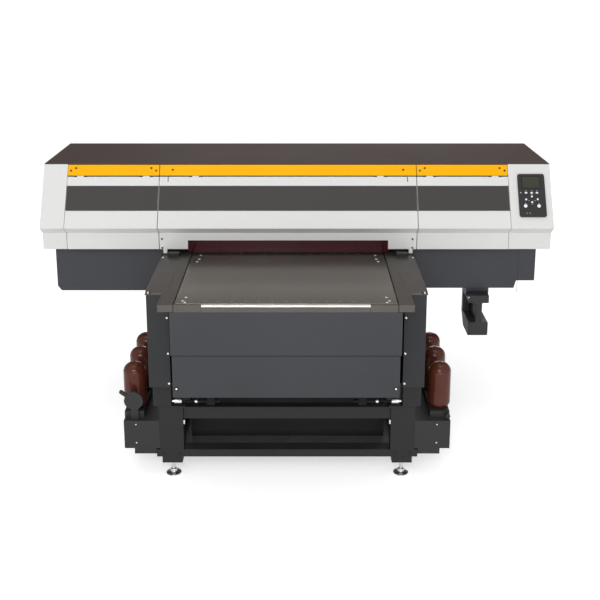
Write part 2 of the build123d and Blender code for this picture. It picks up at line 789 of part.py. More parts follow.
with BuildPart() as top_cover:
    block((left_x, right_x), (top_front_y - 1, head_rear_y), (top_sheet_z, overall_height))
    flange_x = (left_cover_x, right_cover_x)
    flange_start = sheet / cos(radians(slope_angle)) + 2.0
    slope_block(flange_x, (flange_start, strip_length), (-sheet - thin_sheet, -sheet))
    root_y = slope_point(flange_start, -sheet - thin_sheet)[0]
    web_z = slope_point(flange_start, -sheet)[1]
    web_y = (slope_point(flange_start, -sheet)[0] + 1.4, root_y + 8)
    block(flange_x, web_y, (web_z - 2, top_sheet_z))
    for x_range in cover_ranges.values():
        for x in hinge_places(x_range):
            half = knuckle_length / 2
            for knuckle in ((x - half - 15, x - half), (x + half, x + half + 15)):
                slope_rod(knuckle, hinge_distance, hinge_out, knuckle_radius)
                leaf_down = (strip_length - 2, hinge_distance)
                slope_block(knuckle, leaf_down, (-sheet - thin_sheet, -sheet))
            slope_rod((x - half, x + half), hinge_distance, hinge_out, pin_radius)
save(top_cover, "top_cover")

# Accent strips: three narrow sloping plates on the top cover's flange.
with BuildPart() as accent_strips:
    strip_start = sheet / cos(radians(slope_angle)) + sheet * tan(radians(slope_angle)) + 0.5
    edges_x = (left_cover_x, left_seam_x, right_seam_x, right_cover_x)
    for start, end in zip(edges_x, edges_x[1:]):
        strip_x = (start + seam / 2, end - seam / 2)
        slope_block(strip_x, (strip_start, strip_length), (-sheet, 0))
save(accent_strips, "accent_strips")

# Rear panel of the head.
with BuildPart() as rear_panel:
    panel_z = (cover_bottom_z, top_sheet_z)
    block((left_x, right_x), (head_rear_y - sheet, head_rear_y), panel_z)
save(rear_panel, "rear_panel")

# End covers: moulded caps with the head's section, open towards the middle.
crease = slope_point(slope_length)
end_outline = [
    (head_rear_y - sheet, top_sheet_z),
    slope_point(sheet / cos(radians(slope_angle))),
    crease,
    (facet_y, facet_z),
    (facet_y, cover_bottom_z),
    (head_rear_y - sheet, cover_bottom_z),
]
left_end_x = (left_x, left_cover_x)
right_end_x = (right_cover_x, right_x)
for name, x, hollow in (
    ("end_cover_left", left_end_x, (left_x + sheet, left_cover_x)),
    ("end_cover_right", right_end_x, (right_cover_x, right_x - sheet)),
):
    with BuildPart() as end_cover:
        profile_x(end_outline, x)
        profile_x(closed_inset(end_outline, sheet), hollow, Mode.SUBTRACT)
    save(end_cover, name)


# Head pans: open-topped trays that close the head's overhangs from below.
def head_pan(outline, x_column):
    """Tray from an anticlockwise (x, z) outline, with a low wall at the column and a front lip."""
    profile_y(outline, (pan_front_y, head_rear_y))
    inner = closed_inset(outline, sheet)
    top = cover_bottom_z + 5
    raised = [(x, top if z > column_top_z else z) for x, z in inner]
    profile_y(raised, (pan_front_y + sheet, head_rear_y - sheet), Mode.SUBTRACT)
    wall = (x_column - 8, x_column + 8)
    block(wall, (pan_front_y - 5, head_rear_y + 5), (column_top_z, cover_bottom_z + 5), Mode.SUBTRACT)
    ends = sorted((outline[0][0], x_column))
    lip_x = (max(ends[0], left_cover_x), min(ends[1], right_cover_x))
    lip_y = (facet_y + sheet + 1, pan_front_y)
    block(lip_x, lip_y, (cover_bottom_z - 5, cover_bottom_z - 2))


column_left_x = bed_x - column_outer
column_right_x = bed_x + column_outer
left_outline = [
    (left_pan_x, cover_bottom_z),
    (left_pan_x, left_pan_z + 23),
    (left_pan_x + 17, left_pan_z),
    (column_left_x - 70, left_pan_z),
    (column_left_x - 45, pan_slope_z),
    (column_left_x, pan_slope_z),
    (column_left_x, cover_bottom_z),
]
right_outline = [
    (right_pan_x, cover_bottom_z),
    (column_right_x, cover_bottom_z),
    (column_right_x, pan_slope_z),
    (column_right_x + 45, pan_slope_z),
    (column_right_x + 70, right_pan_z),
    (pan_step_x, right_pan_z),
    (pan_step_x + 10, pan_step_z),
    (right_pan_x, pan_step_z),
]
with BuildPart() as head_pan_left:
    head_pan(left_outline, column_left_x)
save(head_pan_left, "head_pan_left")

# The right pan also carries the waste tank's bracket: a plate with two inward-lipped arms.
with BuildPart() as head_pan_right:
    head_pan(right_outline, column_right_x)
    bracket_y = (pan_front_y + 8, tank_y[1] - 2)
    plate_x = (tank_x[0] - 7, tank_x[1] + 7)
    block(plate_x, bracket_y, (tank_z[1] + slide_gap, right_pan_z))
    for arm, lip in (
        ((plate_x[0], tank_x[0] - slide_gap), (tank_x[0] - slide_gap, tank_x[0] + 5)),
        ((tank_x[1] + slide_gap, plate_x[1]), (tank_x[1] - 5, tank_x[1] + slide_gap)),
    ):
        block(arm, bracket_y, (tank_z[1] - 22, tank_z[1] + slide_gap))
        block(lip, bracket_y, (tank_z[1] - 18, tank_z[1] - 11))
save(head_pan_right, "head_pan_right")

# Waste tank in its holder: grooves for the bracket's lips, side pockets and a cut lower rear corner.
with BuildPart() as waste_tank:
    block(tank_x, tank_y, tank_z)
    for groove in (
        (tank_x[0] - 1, tank_x[0] + 5 + slide_gap),
        (tank_x[1] - 5 - slide_gap, tank_x[1] + 1),
    ):
        block(groove, (tank_y[0] + 20, tank_y[1] + 1), (tank_z[1] - 18.5, tank_z[1] - 10.5), Mode.SUBTRACT)
    for pocket in ((tank_x[0] - 1, tank_x[0] + 30), (tank_x[1] - 30, tank_x[1] + 1)):
        block(pocket, (tank_y[0] - 1, tank_y[1] - 40), (tank_z[0] + 68, tank_z[1] - 37), Mode.SUBTRACT)
    rear_corner = [
        (tank_y[1] + 1, tank_z[0] + 60),
        (tank_y[1] - 60, tank_z[0] - 1),
        (tank_y[1] + 1, tank_z[0] - 1),
    ]
    profile_x(rear_corner, (tank_x[0] - 1, tank_x[1] + 1), Mode.SUBTRACT)
    front_low = waste_tank.edges().filter_by(Axis.X).group_by(Axis.Z)[0].sort_by(Axis.Y)[0]
    fillet(front_low, radius=18)
save(waste_tank, "waste_tank")

# Capping station under the parked carriage, with its rubber caps on top.
with BuildPart() as capping_station:
    cap_x = (carriage_x - 110, carriage_x + 110)
    block(cap_x, (-10, 110), (right_pan_z + sheet, carriage_z - 12))
    for x in (carriage_x - 80, carriage_x + 80):
        for y in (15, 75):
            block((x - 27, x + 27), (y - 15, y + 15), (carriage_z - 12, carriage_z - 3))
save(capping_station, "capping_station")

# ---------------------------------------------------------------- front covers
cover_outer = [
    slope_point(cover_start),
    slope_point(band_start),
    slope_point(band_start + 1, -band_recess),
    slope_point(band_end, -band_recess),
    slope_point(lip_end),
    crease,
    (facet_y, facet_z),
    (facet_y, cover_bottom_z),
]
rib_outline = [
    slope_point(cover_start + 8, -sheet),
    slope_point(slope_length - 12, -sheet),
    (facet_y + sheet, facet_z - 6),
    (facet_y + sheet, cover_bottom_z + 2),
    (facet_y + sheet + rib_depth, cover_bottom_z + 2),
    (facet_y + sheet + rib_depth, facet_z + 4),
    slope_point(slope_length - 26, -sheet - rib_depth),
    slope_point(cover_start + 20, -sheet - rib_depth),
]


def front_cover(x):
    """Bent cover sheet with an end rib at each side and its half of two hinges."""
    bent_sheet(cover_outer, sheet, x)
    for rib in ((x[0], x[0] + sheet), (x[1] - sheet, x[1])):
        profile_x(rib_outline, rib)
    for middle in hinge_places(x):
        half = knuckle_length / 2
        for notch in ((middle - half - 16, middle - half), (middle + half, middle + half + 16)):
            notch_down = (cover_start - 1, hinge_distance + knuckle_radius + slide_gap)
            slope_block(notch, notch_down, (-sheet - 4, 1), Mode.SUBTRACT)
        barrel = (middle - half + 0.5, middle + half - 0.5)
        slope_rod(barrel, hinge_distance, hinge_out, knuckle_radius)
        slope_rod(barrel, hinge_distance, hinge_out, pin_radius + shaft_fit, Mode.SUBTRACT)


with BuildPart() as centre_cover:
    front_cover(cover_ranges["centre_cover"])
    window_x = (bed_x - window_half, bed_x + window_half)
    notch_y = (facet_y - 5, facet_y + sheet)
    block(window_x, notch_y, (cover_bottom_z - 5, window_notch_z), Mode.SUBTRACT)
    for side in (-1, 1):
        tab_z = (cover_bottom_z - 20, cover_bottom_z)
        block(across(side, 543, 560), (facet_y, facet_y + sheet), tab_z)
save(centre_cover, "centre_cover")

# Tinted window that hangs behind the notch in the centre cover.
with BuildPart() as cover_window:
    glass_x = (window_x[0] - window_lap, window_x[1] + window_lap)
    glass_y = (facet_y + sheet, facet_y + sheet + window_thickness)
    block(glass_x, glass_y, (cover_bottom_z, window_notch_z + window_lap))
    block(window_x, glass_y, (window_bottom_z, cover_bottom_z))
save(cover_window, "cover_window")

for name in ("left_cover", "right_cover"):
    with BuildPart() as side_cover:
        front_cover(cover_ranges[name])
    save(side_cover, name)

# ---------------------------------------------------------------- operation panel
panel_plane = Plane(
    origin=(panel_x, *slope_point(panel_top)),
    x_dir=(1, 0, 0),
    z_dir=(0, slope_out[0], slope_out[1]),
)
# Each key: (across, down) from the panel's top left corner, then its width and height.
keys = {
    "key_function_1": ((33.5, 89), (12, 8)),
    "key_function_2": ((58.7, 89), (12, 8)),
    "key_function_3": ((82, 89), (12, 8)),
    "key_up": ((58.4, 106), (9, 9)),
    "key_left": ((32, 120), (9, 9)),
    "key_right": ((83.6, 119), (9, 9)),
    "key_down": ((58, 132.5), (9, 9)),
    "key_large_left": ((27.8, 150), (15.5, 15.5)),
    "key_large_right": ((87.4, 150), (15.5, 15.5)),
}

with BuildPart() as control_panel:
    with BuildSketch(panel_plane) as panel_outline:
        with Locations((panel_width / 2, -panel_length / 2)):
            RectangleRounded(panel_width, panel_length, 10)
    extrude(panel_outline.sketch, amount=panel_height)
    front_edges = control_panel.faces().sort_by(Axis((0, 0, 0), panel_plane.z_dir))[-1].edges()
    fillet(front_edges, radius=2.5)
    pocket_plane = panel_plane.offset(panel_height)
    with BuildSketch(pocket_plane) as pockets:
        for (u, v), (width, height) in keys.values():
            with Locations((u, -v)):
                Ellipse(width / 2 + curve_gap, height / 2 + curve_gap)
    extrude(pockets.sketch, amount=-pocket_depth, mode=Mode.SUBTRACT)
    with BuildSketch(pocket_plane) as screen:
        with Locations((display_at[0], -display_at[1])):
            Rectangle(display_width, display_length)
    extrude(screen.sketch, amount=-1.5, mode=Mode.SUBTRACT)
save(control_panel, "control_panel")

with BuildPart() as display:
    with BuildSketch(pocket_plane.offset(-1.5)) as glass:
        with Locations((display_at[0], -display_at[1])):
            Rectangle(display_width - 0.6, display_length - 0.6)
    extrude(glass.sketch, amount=1.2)
save(display, "display")

for name, ((u, v), (width, height)) in keys.items():
    with BuildPart() as key:
        key_bottom = -pocket_depth + key_travel + 0.15
        with BuildSketch(pocket_plane.offset(key_bottom)) as cap:
            with Locations((u, -v)):
                Ellipse(width / 2, height / 2)
        extrude(cap.sketch, amount=key_proud - key_bottom)
    save(key, name)

# ---------------------------------------------------------------- fasteners
# Pan-head screws on the fixed covers.
with BuildPart() as fasteners:
    screw_head = 1.2
    for start, end in zip(edges_x, edges_x[1:]):
        for x in (start + 14, end - 14):
            for down in (18, 42):
                slope_screw = (x, -down, screw_head / 2)
                with Locations(slope_plane):
                    with Locations(slope_screw):
                        Cylinder(4, screw_head)
    for side in (-1, 1):
        for z in (column_top_z - 46, (column_top_z + base_z) / 2 + 7, base_z + 63):
            place = (bed_x + side * (column_inner + 14), column_front_y - screw_head, z)
            rod(place, "Y", 4.5, screw_head)
        place = (bed_x + side * (lower_skirt_half - 36), lower_skirt_y - screw_head, skirt_bottom_z + 18)
        rod(place, "Y", 4.5, screw_head)
        for y in (column_front_y + 7, column_front_y + 15):
            place = (bed_x + side * (deck_outer - 13), y, column_top_z + 3)
            rod(place, "Z", 3, 3)
        for i in range(6):
            place = (bed_x + side * (column_inner + 9), column_front_y + 75 + i * 34, table_top_z)
            rod(place, "Z", 2.5, 0.6)
save(fasteners, "fasteners")
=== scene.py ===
import math
import bpy
from mathutils import Matrix, Vector


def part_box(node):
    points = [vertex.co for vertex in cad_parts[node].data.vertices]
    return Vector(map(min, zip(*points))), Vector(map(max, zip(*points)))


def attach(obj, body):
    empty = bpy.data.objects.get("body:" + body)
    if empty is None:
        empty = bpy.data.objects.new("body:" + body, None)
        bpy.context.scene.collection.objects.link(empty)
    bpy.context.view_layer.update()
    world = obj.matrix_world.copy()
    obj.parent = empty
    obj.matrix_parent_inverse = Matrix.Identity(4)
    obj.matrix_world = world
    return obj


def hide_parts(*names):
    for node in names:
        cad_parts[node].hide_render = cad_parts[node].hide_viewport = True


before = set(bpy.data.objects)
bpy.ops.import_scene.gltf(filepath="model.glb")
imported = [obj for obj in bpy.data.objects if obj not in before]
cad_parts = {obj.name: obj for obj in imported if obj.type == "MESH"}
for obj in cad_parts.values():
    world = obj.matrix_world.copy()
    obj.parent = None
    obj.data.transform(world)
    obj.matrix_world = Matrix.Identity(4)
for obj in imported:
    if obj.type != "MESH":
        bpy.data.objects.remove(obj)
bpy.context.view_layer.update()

# ---------------------------------------------------------------- stand
# The stand is welded from rectangular steel tube and bolted up from four legs and cross beams.
# It is powder coated near black, with a fine texture, and carries the whole machine.


def screen_colour(red, green, blue):
    """A paint shade in 0 to 255 screen values, as the linear colour that a shader takes."""
    shade = []
    for value in (red, green, blue):
        part = value / 255
        shade.append(part / 12.92 if part <= 0.04045 else ((part + 0.055) / 1.055) ** 2.4)
    return (*shade, 1)


def effect_group(name, inputs, output, output_kind):
    """An empty shader node group with named number inputs and one named output."""
    group = bpy.data.node_groups.new(name, "ShaderNodeTree")
    for input_name, value in inputs.items():
        socket = group.interface.new_socket(
            name=input_name, in_out="INPUT", socket_type="NodeSocketFloat"
        )
        socket.default_value = value
    group.interface.new_socket(name=output, in_out="OUTPUT", socket_type=output_kind)
    entry = group.nodes.new("NodeGroupInput")
    way_out = group.nodes.new("NodeGroupOutput")
    return group, entry, way_out


def one_over(group, socket):
    """A node that turns a size in metres into a noise scale."""
    divide = group.nodes.new("ShaderNodeMath")
    divide.operation = "DIVIDE"
    divide.inputs[0].default_value = 1
    group.links.new(socket, divide.inputs[1])
    return divide.outputs[0]


# Grain is the fine relief of a textured coat or a moulded skin.
grain_group, entry, way_out = effect_group(
    "surface_grain", {"Size": 0.001, "Depth": 0.00005}, "Normal", "NodeSocketVector"
)
place = grain_group.nodes.new("ShaderNodeTexCoord")
noise = grain_group.nodes.new("ShaderNodeTexNoise")
noise.inputs["Detail"].default_value = 3
bump = grain_group.nodes.new("ShaderNodeBump")
grain_group.links.new(place.outputs["Object"], noise.inputs["Vector"])
grain_group.links.new(one_over(grain_group, entry.outputs["Size"]), noise.inputs["Scale"])
grain_group.links.new(noise.outputs[0], bump.inputs["Height"])
grain_group.links.new(entry.outputs["Depth"], bump.inputs["Distance"])
grain_group.links.new(bump.outputs["Normal"], way_out.inputs["Normal"])

# Patches are the slow changes of shade and gloss over a sprayed or moulded face.
patch_group, entry, way_out = effect_group(
    "soft_patches", {"Size": 0.2}, "Value", "NodeSocketFloat"
)
place = patch_group.nodes.new("ShaderNodeTexCoord")
noise = patch_group.nodes.new("ShaderNodeTexNoise")
noise.inputs["Detail"].default_value = 4
spread = patch_group.nodes.new("ShaderNodeMapRange")
spread.inputs["From Min"].default_value = 0.3
spread.inputs["From Max"].default_value = 0.7
patch_group.links.new(place.outputs["Object"], noise.inputs["Vector"])
patch_group.links.new(one_over(patch_group, entry.outputs["Size"]), noise.inputs["Scale"])
patch_group.links.new(noise.outputs[0], spread.inputs["Value"])
patch_group.links.new(spread.outputs["Result"], way_out.inputs["Value"])

# Edge wear is where hands and cloths have polished the outer corners.
wear_group, entry, way_out = effect_group(
    "edge_wear", {"Width": 0.002, "Amount": 0.5}, "Mask", "NodeSocketFloat"
)
place = wear_group.nodes.new("ShaderNodeTexCoord")
round_off = wear_group.nodes.new("ShaderNodeBevel")
surface = wear_group.nodes.new("ShaderNodeNewGeometry")
compare = wear_group.nodes.new("ShaderNodeVectorMath")
compare.operation = "DOT_PRODUCT"
turned = wear_group.nodes.new("ShaderNodeMapRange")
turned.inputs["From Min"].default_value = 0.995
turned.inputs["From Max"].default_value = 0.85
breaks = wear_group.nodes.new("ShaderNodeTexNoise")
breaks.inputs["Scale"].default_value = 90
breaks.inputs["Detail"].default_value = 4
broken = wear_group.nodes.new("ShaderNodeMath")
broken.operation = "MULTIPLY"
scaled = wear_group.nodes.new("ShaderNodeMath")
scaled.operation = "MULTIPLY"
wear_group.links.new(entry.outputs["Width"], round_off.inputs["Radius"])
wear_group.links.new(round_off.outputs["Normal"], compare.inputs[0])
wear_group.links.new(surface.outputs["Normal"], compare.inputs[1])
wear_group.links.new(compare.outputs["Value"], turned.inputs["Value"])
wear_group.links.new(place.outputs["Object"], breaks.inputs["Vector"])
wear_group.links.new(turned.outputs["Result"], broken.inputs[0])
wear_group.links.new(breaks.outputs[0], broken.inputs[1])
wear_group.links.new(broken.outputs[0], scaled.inputs[0])
wear_group.links.new(entry.outputs["Amount"], scaled.inputs[1])
wear_group.links.new(scaled.outputs[0], way_out.inputs["Mask"])

# Dust settles thinly on faces that look up.
dust_group, entry, way_out = effect_group(
    "settled_dust", {"Amount": 0.1}, "Mask", "NodeSocketFloat"
)
place = dust_group.nodes.new("ShaderNodeTexCoord")
split = dust_group.nodes.new("ShaderNodeSeparateXYZ")
upward = dust_group.nodes.new("ShaderNodeMapRange")
upward.inputs["From Min"].default_value = 0.55
drift = dust_group.nodes.new("ShaderNodeTexNoise")
drift.inputs["Scale"].default_value = 14
drift.inputs["Detail"].default_value = 8
layer = dust_group.nodes.new("ShaderNodeMath")
layer.operation = "MULTIPLY"
thin = dust_group.nodes.new("ShaderNodeMath")
thin.operation = "MULTIPLY"
dust_group.links.new(place.outputs["Normal"], split.inputs[0])
dust_group.links.new(split.outputs["Z"], upward.inputs["Value"])
dust_group.links.new(place.outputs["Object"], drift.inputs["Vector"])
dust_group.links.new(upward.outputs["Result"], layer.inputs[0])
dust_group.links.new(drift.outputs[0], layer.inputs[1])
dust_group.links.new(layer.outputs[0], thin.inputs[0])
dust_group.links.new(entry.outputs["Amount"], thin.inputs[1])
dust_group.links.new(thin.outputs[0], way_out.inputs["Mask"])


def place_group(finish, group, values):
    """Puts an effect in a finish, with its own values."""
    node = finish.node_tree.nodes.new("ShaderNodeGroup")
    node.node_tree = group
    for socket_name, value in values.items():
        node.inputs[socket_name].default_value = value
    return node


def mixed_colour(finish, factor, first, second):
    """A colour mix; first and second are plain colours or sockets of other nodes."""
    mix = finish.node_tree.nodes.new("ShaderNodeMix")
    mix.data_type = "RGBA"
    finish.node_tree.links.new(factor, mix.inputs[0])
    for socket, value in ((mix.inputs[6], first), (mix.inputs[7], second)):
        if isinstance(value, tuple):
            socket.default_value = value
        else:
            finish.node_tree.links.new(value, socket)
    return mix.outputs[2]


def shaded(colour, share):
    """A colour made lighter or darker by a share of itself."""
    return (*[min(1, part * share) for part in colour[:3]], 1)


def coated_finish(name, colour, rough, rough_spread=0.06, shade_spread=0.06, grain=0.0009,
                  depth=0.00004, wear=0.4, dust=0.06, patch=0.25, gloss=0.5, metal=0.0, coat=0.0):
    """Paint, powder coat or moulded plastic: grain, soft patches, worn edges and thin dust."""
    finish = bpy.data.materials.new(name)
    finish.use_nodes = True
    links = finish.node_tree.links
    shader = finish.node_tree.nodes["Principled BSDF"]
    patches = place_group(finish, patch_group, {"Size": patch})
    low = shaded(colour, 1 - shade_spread)
    high = shaded(colour, 1 + shade_spread)
    base = mixed_colour(finish, patches.outputs[0], low, high)
    worn = place_group(finish, wear_group, {"Width": 0.0016, "Amount": wear})
    lighter = tuple(part + (0.55 - part) * 0.35 for part in colour[:3])
    base = mixed_colour(finish, worn.outputs[0], base, (*lighter, 1))
    dusty = place_group(finish, dust_group, {"Amount": dust})
    base = mixed_colour(finish, dusty.outputs[0], base, (0.42, 0.41, 0.39, 1))
    links.new(base, shader.inputs["Base Color"])
    shine = finish.node_tree.nodes.new("ShaderNodeMapRange")
    shine.inputs["To Min"].default_value = rough - rough_spread
    shine.inputs["To Max"].default_value = rough + rough_spread
    links.new(patches.outputs[0], shine.inputs["Value"])
    links.new(shine.outputs["Result"], shader.inputs["Roughness"])
    relief = place_group(finish, grain_group, {"Size": grain, "Depth": depth})
    links.new(relief.outputs[0], shader.inputs["Normal"])
    shader.inputs["Specular IOR Level"].default_value = gloss
    shader.inputs["Metallic"].default_value = metal
    shader.inputs["Coat Weight"].default_value = coat
    shader.inputs["Coat Roughness"].default_value = 0.12
    return finish


def only(piece):
    """Selects one object alone and makes it active."""
    bpy.ops.object.select_all(action="DESELECT")
    piece.select_set(True)
    bpy.context.view_layer.objects.active = piece


def round_edges(piece, edge, segments=2, clamp=True):
    """Rounds the sharp edges and keeps the wide faces flat in the light."""
    only(piece)
    bpy.ops.object.shade_smooth()
    if edge:
        bevel = piece.modifiers.new("rounded edges", "BEVEL")
        bevel.width = edge
        bevel.segments = segments
        bevel.limit_method = "ANGLE"
        bevel.angle_limit = math.radians(35)
        bevel.use_clamp_overlap = clamp
        bpy.ops.object.modifier_apply(modifier=bevel.name)
    else:
        bpy.ops.object.shade_smooth_by_angle(angle=math.radians(35))
    flat = piece.modifiers.new("flat faces", "WEIGHTED_NORMAL")
    flat.keep_sharp = True
    flat.weight = 90
    bpy.ops.object.modifier_apply(modifier=flat.name)


def dress(piece, finish, body):
    """Gives a piece its one finish and the body that it rides on."""
    piece.data.materials.clear()
    piece.data.materials.append(finish)
    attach(piece, body)
    return piece


def machined(node, edge, finish, body, segments=2, clamp=True, shape=None):
    """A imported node's shape with its loose triangles joined, worked and its edges rounded."""
    piece = bpy.data.objects.new(node + "_finished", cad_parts[node].data.copy())
    bpy.context.scene.collection.objects.link(piece)
    only(piece)
    bpy.ops.object.mode_set(mode="EDIT")
    bpy.ops.mesh.select_all(action="SELECT")
    bpy.ops.mesh.remove_doubles(threshold=0.00001)
    bpy.ops.mesh.dissolve_limited(angle_limit=math.radians(0.5))
    bpy.ops.object.mode_set(mode="OBJECT")
    bpy.ops.mesh.customdata_custom_splitnormals_clear()
    if shape:
        shape(piece)
    round_edges(piece, edge, segments, clamp)
    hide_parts(node)
    return dress(piece, finish, body)


def pick_faces(piece, test):
    """Leaves the piece in edit mode with only the faces that pass the test selected."""
    only(piece)
    bpy.ops.object.mode_set(mode="EDIT")
    bpy.ops.mesh.select_mode(type="FACE")
    bpy.ops.mesh.select_all(action="DESELECT")
    bpy.ops.object.mode_set(mode="OBJECT")
    for face in piece.data.polygons:
        face.select = test(face)
    bpy.ops.object.mode_set(mode="EDIT")


def screw_head(radius, height, sides=16):
    """A pan head with a socket, at the origin, with its head towards +Z."""
    bpy.ops.object.select_all(action="DESELECT")
    bpy.ops.mesh.primitive_cylinder_add(
        vertices=sides, radius=radius, depth=height, location=(0, 0, height / 2)
    )
    bpy.ops.object.transform_apply(location=True, rotation=True, scale=True)
    screw = bpy.context.object
    pick_faces(screw, lambda face: face.normal.z > 0.9)
    bpy.ops.mesh.inset(thickness=radius * 0.18)
    bpy.ops.transform.translate(value=(0, 0, height * 0.3))
    bpy.ops.mesh.inset(thickness=radius * 0.3)
    bpy.ops.mesh.extrude_region_move(
        TRANSFORM_OT_translate={"value": (0, 0, -height * 0.8)}
    )
    bpy.ops.object.mode_set(mode="OBJECT")
    return screw


def set_out(name, model, turn, places):
    """Copies one small model to several places, each with its own mesh, and joins them."""
    copies = []
    for place in places:
        one = bpy.data.objects.new(name, model.data.copy())
        one.data.transform(Matrix.Translation(place) @ turn)
        bpy.context.scene.collection.objects.link(one)
        copies.append(one)
    bpy.data.objects.remove(model)
    bpy.ops.object.select_all(action="DESELECT")
    for one in copies:
        one.select_set(True)
    bpy.context.view_layer.objects.active = copies[0]
    bpy.ops.object.join()
    copies[0].name = name
    only(copies[0])
    bpy.ops.object.shade_smooth_by_angle(angle=math.radians(35))
    return copies[0]


to_front = Matrix.Rotation(math.radians(90), 4, "X")
table_low, table_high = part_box("vacuum_table")
bed_middle = (table_low.x + table_high.x) / 2

stand_coat = coated_finish("stand_powder_coat", screen_colour(36, 36, 37), 0.5, gloss=0.25)
shelf_coat = coated_finish("shelf_coat", screen_colour(74, 74, 75), 0.42, gloss=0.4, dust=0.15)
machined("stand_frame", 0.002, stand_coat, "base")
machined("stand_shelf", 0.0008, shelf_coat, "base")
machined("control_box", 0.002, stand_coat, "base")
machined("base_frame", 0.0015, stand_coat, "base")

black_oxide = coated_finish(
    "black_oxide_steel", screen_colour(24, 24, 25), 0.35, grain=0.0005, wear=0.3, metal=0.4
)
stand_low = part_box("stand_frame")[0]
leg_bolt_places = []
for side in (-1, 1):
    for offset in (0.4535, 0.517):
        leg_bolt_places.append((bed_middle + side * offset, stand_low.y, 0.108))
leg_bolts = set_out("leg_bolts", screw_head(0.0055, 0.0022), to_front, leg_bolt_places)
dress(leg_bolts, black_oxide, "base")

# ---------------------------------------------------------------- levelling feet
# Each foot is a turned steel pad on a threaded stem with a lock nut under the leg.
# The steel is bright zinc plated, with fine turning marks round it.


# Brushing is the long fine scratches of ground, turned or anodised metal.
brush_group, entry, way_out = effect_group(
    "brushed_lines", {"Along X": 1.0, "Along Y": 1.0, "Along Z": 1.0}, "Value", "NodeSocketFloat"
)
place = brush_group.nodes.new("ShaderNodeTexCoord")
stretch = brush_group.nodes.new("ShaderNodeVectorMath")
stretch.operation = "MULTIPLY"
gather = brush_group.nodes.new("ShaderNodeCombineXYZ")
lines = brush_group.nodes.new("ShaderNodeTexNoise")
lines.inputs["Scale"].default_value = 1
lines.inputs["Detail"].default_value = 4
brush_group.links.new(entry.outputs["Along X"], gather.inputs["X"])
brush_group.links.new(entry.outputs["Along Y"], gather.inputs["Y"])
brush_group.links.new(entry.outputs["Along Z"], gather.inputs["Z"])
brush_group.links.new(place.outputs["Object"], stretch.inputs[0])
brush_group.links.new(gather.outputs[0], stretch.inputs[1])
brush_group.links.new(stretch.outputs[0], lines.inputs["Vector"])
brush_group.links.new(lines.outputs[0], way_out.inputs["Value"])


def metal_finish(name, colour, rough, along, rough_spread=0.08, depth=0.00002, shade_spread=0.08,
                 metal=1.0, coat=0.0, dust=0.03):
    """Bare, plated or anodised metal with brushing along one way and soft patches."""
    finish = bpy.data.materials.new(name)
    finish.use_nodes = True
    links = finish.node_tree.links
    shader = finish.node_tree.nodes["Principled BSDF"]
    values = {"Along X": along[0], "Along Y": along[1], "Along Z": along[2]}
    brushed = place_group(finish, brush_group, values)
    patches = place_group(finish, patch_group, {"Size": 0.12})
    low = shaded(colour, 1 - shade_spread)
    high = shaded(colour, 1 + shade_spread)
    base = mixed_colour(finish, patches.outputs[0], low, high)
    dusty = place_group(finish, dust_group, {"Amount": dust})
    base = mixed_colour(finish, dusty.outputs[0], base, (0.42, 0.41, 0.39, 1))
    links.new(base, shader.inputs["Base Color"])
    shine = finish.node_tree.nodes.new("ShaderNodeMapRange")
    shine.inputs["From Min"].default_value = 0.3
    shine.inputs["From Max"].default_value = 0.7
    shine.inputs["To Min"].default_value = max(0.03, rough - rough_spread)
    shine.inputs["To Max"].default_value = rough + rough_spread
    links.new(brushed.outputs[0], shine.inputs["Value"])
    links.new(shine.outputs["Result"], shader.inputs["Roughness"])
    bump = finish.node_tree.nodes.new("ShaderNodeBump")
    bump.inputs["Distance"].default_value = depth
    links.new(brushed.outputs[0], bump.inputs["Height"])
    links.new(bump.outputs["Normal"], shader.inputs["Normal"])
    shader.inputs["Metallic"].default_value = metal
    shader.inputs["Coat Weight"].default_value = coat
    return finish


zinc = metal_finish("bright_zinc", (0.72, 0.72, 0.73, 1), 0.27, (300, 300, 2500))
machined("levelling_feet", 0.0008, zinc, "base")


def box_piece(name, low, high):
    """A block between two corners, alone in the selection, with its place in its mesh."""
    bpy.ops.object.select_all(action="DESELECT")
    middle = (Vector(low) + Vector(high)) / 2
    bpy.ops.mesh.primitive_cube_add(size=1, location=middle)
    piece = bpy.context.object
    piece.name = name
    piece.scale = Vector(high) - Vector(low)
    bpy.ops.object.transform_apply(location=True, rotation=True, scale=True)
    return piece


# Bright zinc gussets tie the front beam to the legs from inside, one in each upper corner.
gusset_top = 0.2575
for side, name in ((-1, "leg_gusset_left"), (1, "leg_gusset_right")):
    inner = bed_middle + side * 0.4262
    near = min(inner, inner + side * 0.009)
    gusset = box_piece(
        name,
        (near, stand_low.y + 0.004, gusset_top - 0.018),
        (near + 0.009, stand_low.y + 0.03, gusset_top),
    )
    round_edges(gusset, 0.0015)
    dress(gusset, zinc, "base")

# ---------------------------------------------------------------- side columns and rear cover
# Folded sheet steel covers over the two side columns and the feed bay behind them.
# Each is one bent sheet in a satin charcoal powder coat, screwed to the base frame.

column_coat = coated_finish("column_powder_coat", screen_colour(32, 33, 36), 0.46, gloss=0.35)
machined("side_column_left", 0.0015, column_coat, "base")
machined("side_column_right", 0.0015, column_coat, "base")
rear_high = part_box("rear_cover")[1]


def service_panel(cover):
    """Presses the outline of a service panel into the middle of the cover's rear wall."""
    pick_faces(cover, lambda face: face.normal.y > 0.99 and face.center.y > rear_high.y - 0.001)
    bpy.ops.mesh.inset(thickness=0.05)
    bpy.ops.mesh.inset(thickness=0.0016, depth=-0.0014)
    bpy.ops.object.mode_set(mode="OBJECT")


machined("rear_cover", 0.0012, column_coat, "base", shape=service_panel)

